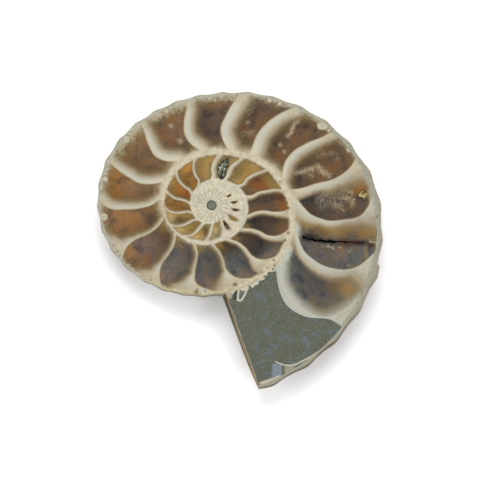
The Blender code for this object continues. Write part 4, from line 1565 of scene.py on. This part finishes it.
def joined(pieces, name, material):
    """Joins objects into one with its place in its mesh."""
    deselect_all()
    for piece in pieces:
        piece.select_set(True)
    bpy.context.view_layer.objects.active = pieces[0]
    bpy.ops.object.join()
    bpy.ops.object.transform_apply(location=True, rotation=True, scale=True)
    piece = bpy.context.object
    piece.name = piece.data.name = name
    piece.data.materials.clear()
    piece.data.materials.append(material)
    return piece


class AMMONITE_OT_grit(bpy.types.Operator):
    """Models the loose grit in the open chamber"""

    bl_idname = "ammonite.grit"
    bl_label = "Pocket grit"

    def execute(self, context):
        settings = settings_of(context)
        draw = random.Random(7)
        growth, radius, length, width, depth = GRAVEL_POCKET
        outward, forward = directions(growth)
        grains = []
        for number in range(settings.grain_count):
            turn, reach = draw.uniform(0.0, 2.0 * math.pi), math.sqrt(draw.random())
            size = settings.grain_size * draw.uniform(0.65, 1.35)
            along = radius + 0.40 * length * reach * math.cos(turn)
            aside = 0.38 * width * reach * math.sin(turn)
            floor = depth * (0.62 - 0.35 * max(0.0, reach - 0.35))
            spot = outward * along + forward * aside
            place = laid_down([(*spot, -floor + 0.30 * size / MM)])[0]
            deselect_all()
            bpy.ops.mesh.primitive_ico_sphere_add(subdivisions=2, radius=size / 2.0,
                                                  location=tuple(place))
            grain = context.object
            bpy.ops.object.mode_set(mode="EDIT")
            bpy.ops.transform.resize(value=[draw.uniform(0.7, 1.2) for _ in range(3)])
            bpy.ops.mesh.select_all(action="DESELECT")
            bpy.ops.object.mode_set(mode="OBJECT")
            for vertex in grain.data.vertices:
                spot = vertex.co / size * 2.5 + Vector(place) / MM
                vertex.co *= 1.0 + 0.22 * noise.noise(spot)
            grain.rotation_euler = [draw.uniform(0.0, 3.0) for _ in range(3)]
            grains.append(grain)
        piece = joined(grains, "pocket_grit", pocket_grit(settings))
        bpy.ops.object.shade_smooth_by_angle(angle=math.radians(50.0))
        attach(piece, "root")
        return {"FINISHED"}


class AMMONITE_OT_crystals(bpy.types.Operator):
    """Models the cluster of yellow crystals near the rim"""

    bl_idname = "ammonite.crystals"
    bl_label = "Yellow crystals"

    def execute(self, context):
        settings = settings_of(context)
        draw = random.Random(11)
        growth, radius, length, width, depth = CRYSTAL_POCKET
        outward, forward = directions(growth)
        crystals = []
        for number in range(settings.crystal_count):
            turn, reach = draw.uniform(0.0, 2.0 * math.pi), math.sqrt(draw.random())
            size = settings.crystal_size * draw.uniform(0.45, 1.0)
            along = radius + 0.44 * length * reach * math.cos(turn)
            aside = 0.44 * width * reach * math.sin(turn)
            spot = outward * along + forward * aside
            sunk = 0.30 + 0.62 * size / MM
            place = laid_down([(*spot, -min(sunk, depth))])[0]
            deselect_all()
            bpy.ops.mesh.primitive_cube_add(size=size * 0.75, location=tuple(place))
            crystal = context.object
            bpy.ops.object.mode_set(mode="EDIT")
            bpy.ops.mesh.bevel(offset=size * 0.07, segments=1, affect="EDGES")
            bpy.ops.object.mode_set(mode="OBJECT")
            # A rhomb: a cube stood on its corner and flattened.
            crystal.rotation_euler = (math.radians(54.7), 0.0, math.radians(45.0))
            bpy.ops.object.transform_apply(location=False, rotation=True, scale=False)
            crystal.scale = (1.0, 1.0, 0.72)
            bpy.ops.object.transform_apply(location=False, rotation=False, scale=True)
            crystal.rotation_euler = [draw.uniform(-0.6, 0.6), draw.uniform(-0.6, 0.6),
                                      draw.uniform(0.0, 6.0)]
            crystals.append(crystal)
        piece = joined(crystals, "yellow_crystals", yellow_calcite(settings))
        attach(piece, "root")
        return {"FINISHED"}


class AMMONITE_OT_stage(bpy.types.Operator):
    """Sets the pale table, the soft light and the camera straight above"""

    bl_idname = "ammonite.stage"
    bl_label = "Stage"

    def execute(self, context):
        settings = settings_of(context)
        scene = context.scene
        deselect_all()
        bpy.ops.mesh.primitive_plane_add(size=6.0, location=(0.0, 0.0, 0.0))
        table = context.object
        table.name = table.data.name = "table"
        material, tree, shader = new_material("matt_white_board")
        shader.inputs["Base Color"].default_value = (*linear("#fdfdfd"), 1.0)
        shader.inputs["Roughness"].default_value = 0.9
        shader.inputs["Specular IOR Level"].default_value = 0.2
        table.data.materials.append(material)

        world = bpy.data.worlds.new("even_sky")
        world.use_nodes = True
        background = world.node_tree.nodes["Background"]
        background.inputs["Color"].default_value = (1.0, 1.0, 1.0, 1.0)
        background.inputs["Strength"].default_value = settings.sky
        scene.world = world
        for name, place, share in LAMPS:
            bpy.ops.object.light_add(type="AREA", location=place)
            lamp = context.object
            lamp.name = name
            lamp.data.shape = "DISK"
            lamp.data.size = 0.8
            lamp.data.energy = settings.lamp * share
            lamp.rotation_euler = (-Vector(place)).to_track_quat("-Z", "Y").to_euler()

        face_height = laid_down([(0.0, 0.0, 0.0)])[0][2]
        bpy.ops.object.camera_add(
            location=(0.0, 0.0, face_height + settings.camera_height),
            rotation=(0.0, 0.0, 0.0))
        camera = context.object
        camera.data.sensor_width = 36.0
        camera.data.lens = 36.0 * settings.camera_height / settings.view_width
        camera.data.clip_start = 0.01
        scene.camera = camera
        scene.view_settings.view_transform = "Standard"
        return {"FINISHED"}


class AMMONITE_PT_panel(bpy.types.Panel):
    """Lists the ammonite's pieces, sizes and colours"""

    bl_idname = "AMMONITE_PT_panel"
    bl_label = "Ammonite"
    bl_space_type = "VIEW_3D"
    bl_region_type = "UI"
    bl_category = "Ammonite"

    def draw(self, context):
        settings = settings_of(context)
        for name in AmmoniteSettings.__annotations__:
            self.layout.prop(settings, name)
        for operator in OPERATORS:
            self.layout.operator(operator.bl_idname)


OPERATORS = (AMMONITE_OT_stone, AMMONITE_OT_grit, AMMONITE_OT_crystals, AMMONITE_OT_stage)
CLASSES = (AmmoniteSettings, *OPERATORS, AMMONITE_PT_panel)


def register():
    """Registers the classes and the scene's settings."""
    for kind in CLASSES:
        bpy.utils.register_class(kind)
    bpy.types.Scene.ammonite = PointerProperty(type=AmmoniteSettings)


def unregister():
    """Removes the settings and the classes."""
    del bpy.types.Scene.ammonite
    for kind in reversed(CLASSES):
        bpy.utils.unregister_class(kind)


def main():
    """Makes every piece and the stage."""
    register()
    bpy.ops.ammonite.stone()
    bpy.ops.ammonite.grit()
    bpy.ops.ammonite.crystals()
    bpy.ops.ammonite.stage()


if __name__ == "__main__":
    main()
